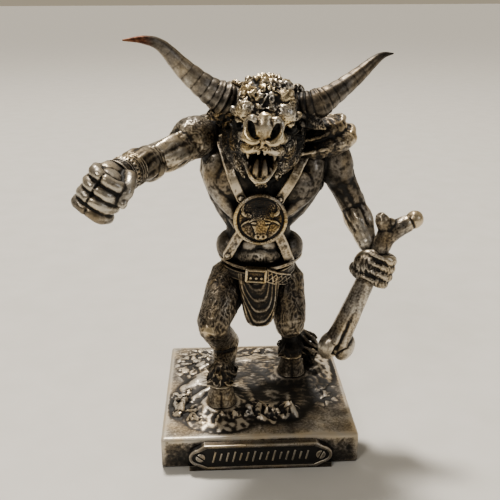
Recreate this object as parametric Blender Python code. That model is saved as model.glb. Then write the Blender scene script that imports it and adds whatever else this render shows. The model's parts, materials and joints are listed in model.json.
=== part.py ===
"""A cast minotaur figurine on a square plinth, with a nameplate on the plinth's front.

Metres, +Z up. X runs to the viewer's right, and the figure faces -Y. The origin is the centre of the
plinth's underside. The figure is one casting with its club, and stands on the plinth's rocky ground.
"""

import math

import bmesh
import bpy
from mathutils import Euler, Matrix, Vector, noise
from mathutils.bvhtree import BVHTree

# Plinth
PLINTH_WIDTH = 0.090
PLINTH_DEPTH = 0.090
PLINTH_HEIGHT = 0.015
PLINTH_CHAMFER = 0.0014
MOUND_HEIGHT = 0.004
GROUND_CELLS = 32

# Nameplate
PLATE_WIDTH = 0.0648
PLATE_TOP_MARGIN = 0.0016
PLATE_THICKNESS = 0.0036
PLATE_EAR = 0.0052
PLATE_FRAME = 0.0014
PLATE_FIELD_DEPTH = 0.0009
PLATE_FOOT_HEIGHT = 0.0026
SCREW_RADIUS = 0.0021
SCREW_SLOT = 0.0007
STROKE_COUNT = 15
STROKE_WIDTH = 0.0008
STROKE_HEIGHT = 0.0056
STROKE_LEAN = 14.0

# Pieces that touch keep this gap
RESTING_GAP = 0.0003

# Figure: every place and size below is in parts, 152 to the height from hoof to crown
FIGURE_HEIGHT = 0.152
PART = FIGURE_HEIGHT / 152
SOLE_Z = PLINTH_HEIGHT + MOUND_HEIGHT + RESTING_GAP
CLAY_CELLS_IN_HEIGHT = 190
FACES_KEPT_IN_THOUSAND = 36

HOOF_RADIUS = 7.0
HOOF_RIGHT = (-17.3, -20.5)
HOOF_LEFT = (19.0, 7.0)
TAIL_TIP = (29.5, 15.0)
TAIL_TIP_RADIUS = 4.6

FINISHES = {
    "antique_metal": ((0.36, 0.33, 0.28), 0.38, 0.9),
    "stone_metal": ((0.40, 0.36, 0.30), 0.5, 0.85),
    "plate_metal": ((0.42, 0.34, 0.22), 0.35, 0.9),
}


def clear_scene():
    for obj in list(bpy.data.objects):
        bpy.data.objects.remove(obj, do_unlink=True)


def finish_material(name):
    colour, roughness, metallic = FINISHES[name]
    material = bpy.data.materials.new(name)
    material.use_nodes = True
    shader = material.node_tree.nodes["Principled BSDF"]
    shader.inputs["Base Color"].default_value = (*colour, 1.0)
    shader.inputs["Roughness"].default_value = roughness
    shader.inputs["Metallic"].default_value = metallic
    material.diffuse_color = (*colour, 1.0)
    return material


def object_from(bm, name, material=None):
    """A scene object that holds the bmesh, which is freed."""
    bmesh.ops.recalc_face_normals(bm, faces=bm.faces)
    mesh = bpy.data.meshes.new(name)
    bm.to_mesh(mesh)
    bm.free()
    obj = bpy.data.objects.new(name, mesh)
    bpy.context.scene.collection.objects.link(obj)
    if material:
        mesh.materials.append(material)
    return obj


def as_cutter(obj):
    obj.hide_render = True
    obj.display_type = "WIRE"
    return obj


# Clay tools: closed shapes that overlap, which the Remesh modifier then fuses


def frame_towards(direction, hint=(0, 0, 1)):
    """A rotation whose Z runs along direction and whose X lies as near to hint as it can."""
    z = Vector(direction).normalized()
    x = Vector(hint) - Vector(hint).dot(z) * z
    if x.length < 1e-4:
        x = z.orthogonal()
    x.normalize()
    return Matrix((x, z.cross(x), z)).transposed().to_4x4()


def lump(bm, centre, radii, aim=(0, 0, 1), hint=(1, 0, 0), frame=Matrix(), rings=8):
    """An ellipsoid: radii are across (along hint), across, and along aim."""
    place = frame @ Matrix.Translation(centre) @ frame_towards(aim, hint)
    size = Matrix.Diagonal((*radii, 1))
    bmesh.ops.create_uvsphere(
        bm, u_segments=2 * rings, v_segments=rings, radius=1, matrix=place @ size
    )


def smooth_path(stations, steps):
    """Catmull-Rom points through the stations, each (x, y, z, radius)."""
    path = [Vector(s) for s in stations]
    ends = [2 * path[0] - path[1], *path, 2 * path[-1] - path[-2]]
    points = []
    for a, b, c, d in zip(ends, ends[1:], ends[2:], ends[3:]):
        for i in range(steps):
            t = i / steps
            points.append(
                0.5 * (2 * b + (c - a) * t + (2 * a - 5 * b + 4 * c - d) * t**2
                       + (3 * b - a - 3 * c + d) * t**3)
            )
    return [*points, path[-1]]


def sausage(bm, stations, flat=1.0, hint=(0, 0, 1), frame=Matrix(), sides=12, steps=4):
    """A round or flattened limb through the stations, closed at both ends by a dome.

    flat is the width across divided by the width along hint.
    """
    points = smooth_path(stations, steps)
    middle = [frame @ p.to_3d() for p in points]
    radii = [max(p[3], 0.15) for p in points]
    turned_hint = frame.to_3x3() @ Vector(hint)
    rings = []

    def add_ring(centre, turn, radius):
        ring = []
        for k in range(sides):
            angle = math.tau * k / sides
            offset = Vector((radius * math.cos(angle), flat * radius * math.sin(angle), 0))
            ring.append(bm.verts.new(centre + turn @ offset))
        rings.append(ring)

    last = len(middle) - 1
    for i, (centre, radius) in enumerate(zip(middle, radii)):
        tangent = middle[min(i + 1, last)] - middle[max(i - 1, 0)]
        turn = frame_towards(tangent, turned_hint).to_3x3()
        outward = turn.col[2] * radius
        if i == 0:
            add_ring(centre - 0.8 * outward, turn, 0.55 * radius)
        add_ring(centre, turn, radius)
        if i == last:
            add_ring(centre + 0.8 * outward, turn, 0.55 * radius)
    for ring, following in zip(rings, rings[1:]):
        for k in range(sides):
            after = (k + 1) % sides
            bm.faces.new((ring[k], ring[after], following[after], following[k]))
    bm.faces.new(rings[0][::-1])
    bm.faces.new(rings[-1])


def taut(reaches, rounds=40):
    """Ray lengths pulled in until a strap bridges the hollows instead of following them."""
    for _ in range(rounds):
        for i in range(1, len(reaches) - 1):
            reaches[i] = min(reaches[i], 0.5 * (reaches[i - 1] + reaches[i + 1]))
    return reaches


def band(bm, skin, centre_line, width, thickness, inward=3.0):
    """A strap of the given width, pulled tight over the skin along (origin, direction) rays."""
    landed = []
    for origin, direction in centre_line:
        _, normal, _, reach = skin.ray_cast(Vector(origin), Vector(direction))
        if normal is not None:
            landed.append((Vector(origin), Vector(direction), normal, reach))
    reaches = taut([reach for _, _, _, reach in landed])
    spots = [origin + reach * direction for (origin, direction, _, _), reach in zip(landed, reaches)]
    sections = []
    for i, spot in enumerate(spots):
        before = spots[max(i - 1, 0)]
        after = spots[min(i + 1, len(spots) - 1)]
        near = landed[max(i - 3, 0) : i + 4]
        normal = sum((n - 2 * d for _, d, n, _ in near), Vector()).normalized()
        across = (after - before).cross(normal).normalized() * width / 2
        low, high = -inward * normal, thickness * normal
        sections.append([
            bm.verts.new(spot + offset)
            for offset in (low - across, high - 0.9 * across, high + 0.9 * across, low + across)
        ])
    for section, following in zip(sections, sections[1:]):
        for k in range(4):
            after = (k + 1) % 4
            bm.faces.new((section[k], section[after], following[after], following[k]))
    bm.faces.new(sections[0][::-1])
    bm.faces.new(sections[-1])


def front_rays(points, steps=6):
    """Rays from the front through the (x, z) points, closely spaced."""
    path = smooth_path([(x, 0, z, 0) for x, z in points], steps)
    return [((p.x, -80, p.z), (0, 1, 0)) for p in path]


def back_rays(points, steps=6):
    path = smooth_path([(x, 0, z, 0) for x, z in points], steps)
    return [((p.x, 80, p.z), (0, -1, 0)) for p in path]


# The body


def torso(bm):
    chest, waist, hips = (4, 1, 101), (1.6, 1, 78), (1.6, 3, 59)
    lump(bm, chest, (22.5, 14.5, 19))
    lump(bm, waist, (15.5, 11.5, 14))
    lump(bm, hips, (17.6, 12.5, 13))
    lump(bm, (4.5, 7, 113), (25, 11, 11))
    for side, breast, lat_top, oblique in (
        (-1, (-8, -9.5, 105), (-19, 4, 110), (-11, 1, 71)),
        (1, (16, -9.5, 103), (27, 6, 103), (16, 1, 70)),
    ):
        lump(bm, breast, (12, 6.5, 9), aim=(0.25 * side, -0.1, 1))
        lump(bm, oblique, (7.5, 9.5, 7.5))
        waist_side = (waist[0] + side * 9.5, 3, 82)
        sausage(bm, [(*lat_top, 7), (*(Vector(lat_top) * 0.5 + Vector(waist_side) * 0.5), 7.5),
                     (*waist_side, 5.5)])
        for row, z in enumerate((94, 89, 84)):
            rib_x = waist[0] + side * (14.5 - 1.6 * row)
            sausage(bm, [(rib_x + 2 * side, -1, z + 3, 1.6), (rib_x - 1.5 * side, -8, z, 2.2)])
        for z, across, tall in ((84, 4.8, 4), (76.5, 4.8, 4.2), (68.5, 5.2, 5)):
            lump(bm, (waist[0] + side * 4.8, -8.4, z), (across, 4.6, tall))
        shoulder_blade = (4.5 + 12 * side, 13.5, 106)
        lump(bm, shoulder_blade, (9, 5.5, 10), aim=(-0.3 * side, 0, 1))
        sausage(bm, [(3 + 4 * side, 12.5, 96, 4), (2 + 3.6 * side, 11, 80, 3.8),
                     (1.6 + 4 * side, 12.5, 66, 4.5)])
        lump(bm, (1.6 + 8.5 * side, 10, 54), (8.8, 8, 9.5))


def neck_and_shoulders(bm):
    sausage(bm, [(4.5, 8, 108, 17), (4.8, 5, 122, 16.5), (5.4, -3, 134, 14)])
    for x, z in ((-12, 125), (22, 119)):
        lump(bm, (x, 4, z), (11, 9, 8), aim=(1 if x < 0 else -1, 0, 0.9), hint=(0, 1, 0))
    lump(bm, (4.5, 13, 119), (16, 8, 11))


def locks(bm, count, place, size, frame=Matrix()):
    """Short curled locks of hair at place(i), which gives a root and an outward direction."""
    for i in range(count):
        root, out = place(i)
        out = Vector(out).normalized()
        droop = Vector((0.3 * math.sin(2.3 * i), 0.2 * math.cos(3.1 * i), -0.8))
        root = Vector(root)
        tip = root + size * (out + 0.7 * droop)
        middle = root + size * 0.75 * out
        sausage(bm, [(*(root - 0.3 * size * out), 0.42 * size), (*middle, 0.4 * size), (*tip, 0.13 * size)],
                frame=frame, sides=7, steps=2)


HEAD = Matrix.Translation((4.4, -12.5, 138.4)) @ Euler(
    (math.radians(-3), math.radians(5), math.radians(-5))
).to_matrix().to_4x4()


def head(bm):
    """A bull's head, in a frame at the skull's centre, with the muzzle along -Y."""
    lump(bm, (0, 3, 0), (15, 14.5, 12.5), frame=HEAD)
    lump(bm, (0, -7, 2), (12, 9, 9), frame=HEAD)
    sausage(bm, [(0, -6, -8, 11), (0, -15, -8, 9.4), (0, -24, -7.4, 7.6), (0, -29, -6.8, 6.8)],
            flat=0.88, hint=(0, 0, 1), frame=HEAD)
    lump(bm, (0, -30.5, -6.6), (7, 4.6, 5.8), frame=HEAD)
    lump(bm, (0, -18, -1), (4, 12, 3), aim=(0, -1, -0.2), hint=(1, 0, 0), frame=HEAD)
    for side in (-1, 1):
        sausage(bm, [(3.5 * side, -15.5, 4.2, 2.6), (8.5 * side, -16, 6, 3.2), (13 * side, -12, 4, 2.6)], frame=HEAD)
        lump(bm, (10.8 * side, -14, 0.8), (3, 2.8, 2.4), frame=HEAD)
        sausage(bm, [(5.5 * side, -16.5, -1.6, 1.3), (9.5 * side, -17, -2.4, 1.6), (13 * side, -14, -1.6, 1.2)],
                frame=HEAD)
        sausage(bm, [(2.2 * side, -33.6, -2.6, 1.3), (5.6 * side, -34.4, -3.6, 1.7), (6.4 * side, -34.4, -7, 1.5),
                     (3.4 * side, -35, -9.6, 1.2)], frame=HEAD)
        sausage(bm, [(0, -33, -12.2, 2.0), (4.6 * side, -31.6, -12.8, 2.5), (8 * side, -26, -13.2, 2.6),
                     (9.6 * side, -18, -15, 2.2)], frame=HEAD)
        lump(bm, (9.4 * side, -12, -12), (6.4, 8.5, 8.5), frame=HEAD)
        ear_root, ear_tip = Vector((14 * side, 0, -1)), Vector((25 * side, 0, -4))
        sausage(bm, [(*ear_root, 3), (*(0.5 * (ear_root + ear_tip)), 4.2), (*ear_tip, 1)],
                flat=0.5, hint=(0, 0.3, 1), frame=HEAD)
    lower_jaw(bm)
    crown_and_beard(bm)


def lower_jaw(bm):
    sausage(bm, [(0, -5, -19, 8.4), (0, -14, -22.6, 6.6), (0, -23, -25.4, 4.6)], flat=0.8,
            hint=(0, 0, 1), frame=HEAD)
    for side in (-1, 1):
        sausage(bm, [(8.4 * side, -15, -17, 2.2), (7.2 * side, -20, -20.6, 1.8),
                     (4.8 * side, -25.4, -23.4, 1.6), (0, -27.6, -24.6, 1.7)], frame=HEAD)
        sausage(bm, [(2.8 * side, -25.4, -23.5, 1.5), (2.6 * side, -26.4, -19.4, 1.2),
                     (2.4 * side, -26.8, -16.4, 0.4)], frame=HEAD, sides=8)
        sausage(bm, [(5.2 * side, -28.4, -13.5, 1.2), (5 * side, -28.6, -17.4, 0.5)], frame=HEAD, sides=8)
    sausage(bm, [(0, -12, -19.6, 3.2), (0, -20, -21, 2.8), (0, -24, -21.2, 1.6)], flat=1.5,
            hint=(0, 0, 1), frame=HEAD)


def crown_and_beard(bm):
    """The tuft between the horns, the forelock and the curled beard along both jaws."""

    def crown_lock(i):
        angle = 2.4 * i
        reach = 2.2 * math.sqrt(i)
        return (-0.5 + 1.05 * reach * math.cos(angle), -5 + 0.9 * reach * math.sin(angle), 9.6 - 0.07 * reach**2), (
            math.cos(angle), 0.8 * math.sin(angle), 1.2)

    def nape_lock(i):
        row, column = divmod(i, 6)
        across = (column - 2.5) * 4.6 + 1.8 * (row % 2)
        return (across, 2 + 5.2 * row, 11.5 - 0.02 * across**2 - 1.3 * row**1.5), (0.08 * across, 0.7, 0.7)

    def beard_lock(i):
        side = 1 if i % 2 else -1
        step = (i // 2) / 8
        return ((14.5 - 6 * step) * side, -2 - 19 * step, -15 - 11 * step), (side, -0.7, -0.4)

    def cheek_lock(i):
        side = 1 if i % 2 else -1
        step = (i // 2) / 7
        return ((14.5 - 3 * step) * side, -5 - 13 * step, -5 - 9 * step), (side, -0.9, 0.1)

    def forelock(i):
        row, column = divmod(i, 5)
        return ((column - 2) * 4.2 + 1.6 * (row % 2), -13.5 - 1.2 * row, 9.5 - 4.2 * row), (
            0.3 * (column - 2), -1, 0.3)

    locks(bm, 20, crown_lock, 4.0, HEAD)
    locks(bm, 18, nape_lock, 4.6, HEAD)
    locks(bm, 12, forelock, 3.6, HEAD)
    locks(bm, 16, beard_lock, 4.4, HEAD)
    locks(bm, 14, cheek_lock, 3.8, HEAD)
    for side in (-1, 1):
        sausage(bm, [(12 * side, 4, -8, 6), (11.5 * side, 0, -17, 6), (7 * side, -6, -24, 4.6)], frame=HEAD)


def horns(bm):
    right = [(-8, -9, 139.5, 6.6), (-14.5, -11, 142.6, 6.6), (-21.6, -12, 147.2, 5.2), (-30.6, -12.5, 155.2, 3.9),
             (-38.8, -16, 164.2, 2.5), (-45.5, -20, 166.9, 1.6), (-53.6, -24, 167, 0.4)]
    left = [(18, -9, 137.5, 6.4), (26, -10, 139.2, 6.2), (34.1, -8, 143.4, 4.6), (44.2, -4, 150, 3.3),
            (52.5, 0, 156.2, 2.2), (57.2, 2.5, 158.6, 1.3), (62, 4, 159.2, 0.4)]
    for stations in (right, left):
        sausage(bm, stations, steps=5)
        path = smooth_path(stations, 20)
        for index, swell in ((22, 1.0), (30, 0.55), (35, 0.5), (40, 0.45), (45, 0.4), (50, 0.3)):
            here, after = path[index], path[index + 1]
            aim = (after - here).to_3d()
            lump(bm, here.to_3d(), (here[3] + swell, here[3] + swell, 1.5), aim=aim)


def mane(bm):
    """Thick wavy locks over the neck and between the shoulder blades."""

    def neck_lock(i):
        row, column = divmod(i, 9)
        angle = math.radians(-105 + 26.25 * column + 9 * (row % 2))
        drop = row * 6.5
        spread = 14.5 + 0.22 * drop
        x = 5 + spread * math.sin(angle)
        y = -2 + 0.45 * drop + (spread - 1) * max(math.cos(angle), -0.4)
        return (x, y, 139 - drop), (math.sin(angle), math.cos(angle), -0.7)

    locks(bm, 36, neck_lock, 6.5)


def upper_arm(bm, shoulder, elbow, bulk):
    """Deltoid, biceps and triceps from a shoulder to an elbow."""
    shoulder, elbow = Vector(shoulder), Vector(elbow)
    along = elbow - shoulder
    sausage(bm, [(*shoulder, 1.1 * bulk), (*(shoulder + 0.5 * along), bulk), (*elbow, 0.86 * bulk)])
    return shoulder, elbow, along


def arm_right(bm):
    """The arm thrown forward, with a cuff above its clenched fist."""
    shoulder, elbow, along = upper_arm(bm, (-24, -4, 123.5), (-45.5, -26, 118.8), 6.0)
    lump(bm, (-27, -5.5, 124.6), (10, 9.4, 12), aim=along)
    lump(bm, (-24, 2.5, 122.5), (8.5, 7, 10), aim=along)
    sausage(bm, [(-12, 6, 126, 8.5), (-21, 1, 126.5, 7.6), (-29, -8, 124.5, 6.4)])
    lump(bm, shoulder + 0.55 * along + Vector((0, -1.5, 2.2)), (4.6, 4.4, 9.5), aim=along)
    lump(bm, shoulder + 0.5 * along + Vector((0, 2.0, -2.6)), (4.4, 4.2, 10), aim=along)
    wrist = Vector((-56, -49, 117.2))
    reach = wrist - elbow
    sausage(bm, [(*elbow, 5.6), (*(elbow + 0.35 * reach), 6.4), (*wrist, 4.6)])
    lump(bm, elbow + 0.3 * reach + Vector((-1.6, 0, 2.0)), (4.2, 5, 8.5), aim=reach)
    cuff_start, cuff_end = elbow + 0.58 * reach, elbow + 0.98 * reach
    sausage(bm, [(*cuff_start, 6.5), (*cuff_end, 6.3)], steps=2, sides=20)
    for share in (0.52, 0.66, 1.02):
        lump(bm, elbow + share * reach, (7.7, 7.7, 1.5), aim=reach)
    thumb_side = Vector((0.55, 0, 0.83))
    fist(bm, wrist + 8.5 * reach.normalized() + Vector((0, 0, -2.5)), -thumb_side, reach, -1, 1.12)


def arm_left(bm):
    """The hanging arm, whose hand holds the club."""
    shoulder, elbow, along = upper_arm(bm, (35, 4, 115), (47.6, 6.5, 88.5), 6.6)
    lump(bm, (36, 3, 114), (9.5, 9.8, 11.5), aim=(0.3, 0, -1))
    lump(bm, shoulder + 0.5 * along + Vector((-1.4, -2.6, 0)), (4.6, 4.6, 9.5), aim=along)
    lump(bm, shoulder + 0.45 * along + Vector((0.4, 3.0, 0)), (4.8, 4.6, 10.5), aim=along)
    wrist = Vector((53.2, -6, 72.8))
    reach = wrist - elbow
    sausage(bm, [(*elbow, 5.4), (*(elbow + 0.35 * reach), 5.2), (*wrist, 3.5)])
    lump(bm, elbow + 0.22 * reach + Vector((2.4, -1.2, -0.6)), (3.8, 4.4, 8), aim=reach)
    fist(bm, CLUB_GRIP + Vector((-0.6, -0.6, 0.3)), -CLUB_AXIS, (0.9, -0.35, -0.5), 1, 0.9)


def fist(bm, centre, thumb_axis, distal, thumb_side, size):
    """A clenched hand about a grip along thumb_axis, with its knuckles towards distal."""
    x = Vector(thumb_axis).normalized()
    y = (Vector(distal) - Vector(distal).dot(x) * x).normalized()
    turn = Matrix((x, y, x.cross(y))).transposed().to_4x4()
    frame = Matrix.Translation(centre) @ turn @ Matrix.Scale(size, 4)
    lump(bm, (0, -1.5, 2.6), (8, 8.2, 4.6), frame=frame)
    lump(bm, (0, 2.6, -2), (8.2, 5.6, 5.4), frame=frame)
    lump(bm, (5.2 * thumb_side, -5, -1.5), (4, 5.5, 4.6), frame=frame)
    for finger in range(4):
        x = (1.5 - finger) * 4.1 * thumb_side
        long = (0, 0.5, 0.2, -0.8)[finger]
        sausage(bm, [(x, 4.5, 4.6, 2.2), (x, 8.4 + long, 3, 2.5), (x, 9.2 + long, -1.6, 2.1),
                     (x, 7.4 + 0.5 * long, -5.6, 2.3), (x, 1.8, -6.6, 2.0), (x, -1.6, -4, 1.8)],
                frame=frame, sides=10)
    sausage(bm, [(6.6 * thumb_side, -5.5, -1.5, 2.9), (9 * thumb_side, 0.5, -5.4, 2.4),
                 (6.4 * thumb_side, 5.4, -8.4, 2.3), (2.2 * thumb_side, 7.2, -9.2, 1.7)], frame=frame)


# The club is a thigh bone, held through the left hand
CLUB_BOTTOM = Vector((38.6, -15, 27.5))
CLUB_GRIP = Vector((54.6, -11.5, 64.8))
CLUB_BEND = Vector((61.2, -9.8, 80.5))
CLUB_AXIS = (CLUB_GRIP - CLUB_BOTTOM).normalized()


def club(bm):
    sausage(bm, [(*CLUB_BOTTOM, 4.6), (*(CLUB_BOTTOM * 0.72 + CLUB_GRIP * 0.28), 4.1), (*CLUB_GRIP, 3.4),
                 (*CLUB_BEND, 4.0)], steps=5)
    across = Vector((0.94, 0.1, -0.2))
    for side, radius in ((-1, 5.6), (1, 4.9)):
        centre = CLUB_BOTTOM + side * 4.2 * across + Vector((0, 0, -3.2))
        lump(bm, centre, (radius, radius, 5.8), aim=CLUB_AXIS)
    sausage(bm, [(*(CLUB_BEND - 3 * CLUB_AXIS), 4.2), (*(CLUB_BEND + Vector((4.5, 0.3, 1.5))), 3.9),
                 (*(CLUB_BEND + Vector((9.5, 1, 3.6))), 3.5)])
    lump(bm, CLUB_BEND + Vector((12.2, 1.6, 5.0)), (4.5, 4.4, 4.4))
    sausage(bm, [(*CLUB_BEND, 3.8), (*(CLUB_BEND + Vector((-3.4, -0.2, 6.4))), 3.2)])
    lump(bm, CLUB_BEND + Vector((0.6, 0, 3.4)), (3.8, 3, 3.2))


def leg(bm, hip, knee, hock, fetlock, hoof, shank):
    """A furred bull's hind leg: thigh to the knee, back to the hock, forward to the hoof.

    shank is the thickness below the knee, where 1 is the slimmer of the two legs.
    """
    hip, knee, hock, fetlock = (Vector(v) for v in (hip, knee, hock, fetlock))
    thigh = knee - hip
    sausage(bm, [(*hip, 9.8), (*(hip + 0.5 * thigh), 9.0), (*knee, 7.2)])
    lump(bm, hip + 0.55 * thigh + Vector((0, 3.5, 0)), (7, 6.5, 12), aim=thigh)
    shin = hock - knee
    sausage(bm, [(*knee, 7.2), (*(knee + 0.45 * shin), 6.8), (*hock, 5.0 * shank)])
    lump(bm, knee + Vector((-1.2, -3.0, -0.6)), (4.0, 3.4, 4.4))
    lump(bm, knee + 0.5 * shin + Vector((2.0, 1.8, 0)), (4.6, 4.6, 8), aim=shin)
    sausage(bm, [(*hock, 4.6 * shank), (*(0.5 * (hock + fetlock)), 4.2 * shank), (*fetlock, 4.4 * shank)])
    lump(bm, hock + Vector((0, 2.2, 1.2)), (3.0, 2.8, 3.6))
    top = Vector((*hoof, 9.5)) + Vector((0, 1.8, 0))
    sausage(bm, [(*fetlock, 4.4 * shank), (*top, 5.0)], steps=2)
    hoof_walls(bm, hoof)

    def feather(i):
        angle = math.tau * i / 11
        return (fetlock.x + 3.6 * math.cos(angle), fetlock.y + 3.6 * math.sin(angle) - 0.8, fetlock.z - 0.5), (
            0.8 * math.cos(angle), 0.8 * math.sin(angle), -0.6)

    locks(bm, 11, feather, 4.4)
    fur(bm, hip, knee, hock)


def fur(bm, hip, knee, hock):
    """Curls round the thigh, in a fringe over the knee and down the back of the shin."""

    def thigh_lock(i):
        row, column = divmod(i, 7)
        angle = math.radians(-150 + 50 * column + 25 * (row % 2))
        centre = hip.lerp(knee, 0.36 + 0.22 * row)
        out = Vector((math.sin(angle), -math.cos(angle), 0))
        return centre + (8.2 - 0.9 * row) * out, 0.3 * out + Vector((0, 0, -1))

    def shin_lock(i):
        row, column = divmod(i, 4)
        angle = math.radians(50 + 75 * column + 30 * (row % 2))
        centre = knee.lerp(hock, 0.1 + 0.27 * row)
        out = Vector((math.sin(angle), -math.cos(angle), 0))
        return centre + (6.2 - 0.9 * row) * out, 0.3 * out + Vector((0, 0, -1))

    locks(bm, 21, thigh_lock, 4.4)
    locks(bm, 12, shin_lock, 4.0)


def hoof_walls(bm, hoof):
    """A split hoof that flares to its sole. It runs on below the sole, where the flat cut ends it."""
    x, y = hoof
    for side in (-1, 1):
        sausage(bm, [(x + 2.2 * side, y + 2.0, 8.5, 3.3), (x + 2.7 * side, y - 0.2, 3.5, 4.1),
                     (x + 3.0 * side, y - 1.4, -3, 4.4)], steps=3, sides=14)
    lump(bm, (x, y + 1.5, 1), (HOOF_RADIUS, HOOF_RADIUS - 0.6, 5.5))
    lump(bm, (x, y + 1.6, 9.4), (5.6, 5.6, 1.5))


def legs(bm):
    leg(bm, hip=(-11.5, 2, 56), knee=(-20.8, -18.5, 39), hock=(-14.4, -1, 21), fetlock=(-16.6, -14, 13.5),
        hoof=HOOF_RIGHT, shank=1.28)
    leg(bm, hip=(14.5, 4, 54), knee=(16.6, -7, 34), hock=(18.6, 17, 21), fetlock=(18.8, 12.5, 12),
        hoof=HOOF_LEFT, shank=1.0)


def tail(bm):
    """From the rump down behind the left leg, to a tuft that reaches the ground."""
    x, y = TAIL_TIP
    sausage(bm, [(2.5, 13, 60, 3.2), (5, 21, 52, 2.8), (12, 24.5, 38, 2.2), (20, 22, 25, 2.2), (25, 18.5, 16, 2.6)])
    sausage(bm, [(24.6, 18.6, 17, 2.4), (27, 17, 9, 3.6), (x, y, 2, TAIL_TIP_RADIUS - 0.6),
                 (x, y, -3, TAIL_TIP_RADIUS - 1.2)])


def loincloth(bm):
    """A hanging front cloth with nested U folds, and a plain back cloth."""
    for depth, wide, y in ((25, 9.6, -13), (21, 7.4, -15.2), (15.5, 5.4, -16.6), (9, 3.4, -17.4)):
        top = 62.0
        fold = []
        for i in range(9):
            t = -1 + i / 4
            fold.append((1.4 + wide * t * (1 - 0.12 * (1 - t * t)), y + 0.8 * (1 - t * t),
                         top - depth * (1 - abs(t) ** 2.6), 1.5))
        sausage(bm, fold, steps=2, sides=8)
    sausage(bm, [(1.6, -10.5, 62, 9), (1.4, -11.6, 52, 8.2), (1.2, -12.4, 43.5, 6.4)], flat=0.42, hint=(1, 0, 0))
    sausage(bm, [(1.8, 15.5, 62, 10), (2, 17.5, 52, 9.4), (2, 17, 42, 7.6)], flat=0.28, hint=(1, 0, 0))


def pauldron(bm):
    """Two overlapping plates over the left shoulder, each with a raised rim."""
    lower = [(19, -15.5, 118.6), (31, -14.5, 120.6), (40.5, -8.5, 123.6), (44.6, 0, 126), (42.5, 9, 126.6),
             (34, 15.5, 125), (23, 17, 122)]
    upper = [(18, -12.5, 123.4), (28, -12.5, 125.4), (36.5, -7, 128.8), (40, 1.5, 131), (38, 8.5, 131),
             (30.5, 13.5, 129.4), (21, 15, 127)]
    for rim, middle, radii in ((lower, (30.5, 0.5, 120.2), (14.4, 15.6, 6)), (upper, (28.5, 1, 125.6), (11.6, 13.4, 5.4))):
        sausage(bm, [(*place, 1.5) for place in rim], steps=3, sides=8)
        lump(bm, middle, radii, aim=(-0.28, 0, 1), rings=10)


def medallion(bm, skin):
    """A round boss on the breastbone with a bull's mask in low relief."""
    centre = Vector((1.6, -18.4, 90))
    facing = Vector((0, -1, -0.06))
    frame = Matrix.Translation(centre) @ frame_towards(facing, (1, 0, 0))
    radius = 11.4
    bmesh.ops.create_cone(bm, cap_ends=True, segments=40, radius1=radius - 0.2, radius2=radius - 0.6,
                          depth=7, matrix=frame @ Matrix.Translation((0, 0, -3.2)))
    rim = []
    for i in range(37):
        angle = math.tau * i / 36
        rim.append((radius * math.cos(angle), radius * math.sin(angle), 0.2, 0.9))
    sausage(bm, rim, frame=frame, steps=1, sides=8)
    # In this frame +Y is up
    lump(bm, (0, 1.2, 0.2), (5.4, 3.8, 1.6), frame=frame)
    lump(bm, (0, -2.6, 0.3), (3.6, 5.2, 1.7), frame=frame)
    lump(bm, (0, -6.8, 0.6), (2.7, 2.3, 1.7), frame=frame)
    for side in (-1, 1):
        sausage(bm, [(4 * side, 2.6, 0.6, 1.3), (6.8 * side, 3.6, 0.6, 1.1), (7.2 * side, 7, 0.6, 0.6)],
                frame=frame, sides=8)
        sausage(bm, [(4.6 * side, 0.4, 0.4, 1.0), (7.2 * side, -1.4, 0.4, 0.7)], frame=frame, sides=8)


def harness(bm, skin):
    """Four straps that meet under the medallion, with a stud at each end, and a cross at the back."""
    for front, wide in (([(-16, 126), (-12.5, 114), (-8, 102), (-3.5, 93)], 4.2),
                        ([(25, 122), (19, 112), (12, 101), (6.5, 92)], 4.2),
                        ([(-4, 86), (-9.5, 77), (-15, 67.5)], 4.4),
                        ([(7, 86), (12, 76), (16, 65)], 4.2)):
        band(bm, skin, front_rays(front), wide, 1.8)
    for x, z in ((-9.3, 100.5), (12.2, 100), (-13.6, 69.5), (15.4, 66)):
        stud(bm, skin, x, z, -1)
    for back in ([(-14, 124), (2, 98), (17, 66)], [(23, 121), (4, 98), (-14, 66)]):
        band(bm, skin, back_rays(back, 8), 4.4, 1.4)


def stud(bm, skin, x, z, facing):
    hit, normal, _, _ = skin.ray_cast(Vector((x, 80 * facing, z)), Vector((0, -facing, 0)))
    if hit is not None:
        lump(bm, hit + 1.2 * normal, (1.7, 1.7, 1.2), aim=normal)


def belt(bm, skin):
    """The waistband, the belt round the hips, its buckle and its long tooled end."""

    def around(height_at, start=-180, end=180, step=9):
        rays = []
        for angle in range(start, end + 1, step):
            a = math.radians(angle)
            direction = Vector((-math.sin(a), math.cos(a), 0))
            rays.append((Vector((1.8, 2, height_at(a))) - 60 * direction, direction))
        return rays

    band(bm, skin, around(lambda a: 67.5 - 3.2 * math.cos(a)), 2.2, 1.2, 9)
    band(bm, skin, around(lambda a: 61.8 - 1.2 * math.cos(a)), 5.6, 1.4, 9)
    band(bm, skin, front_rays([(3.5, 62.4), (9.5, 59.6), (16.2, 56)]), 6.4, 2.6)
    hit, _, _, _ = skin.ray_cast(Vector((-0.4, -80, 62.6)), Vector((0, 1, 0)))
    buckle = Matrix.Translation(hit + Vector((0, -1.4, 0))) @ Euler((0, math.radians(4), 0)).to_matrix().to_4x4()
    bmesh.ops.create_cube(bm, size=1, matrix=buckle @ Matrix.Diagonal((9.8, 5.6, 6.8, 1)))


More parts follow.
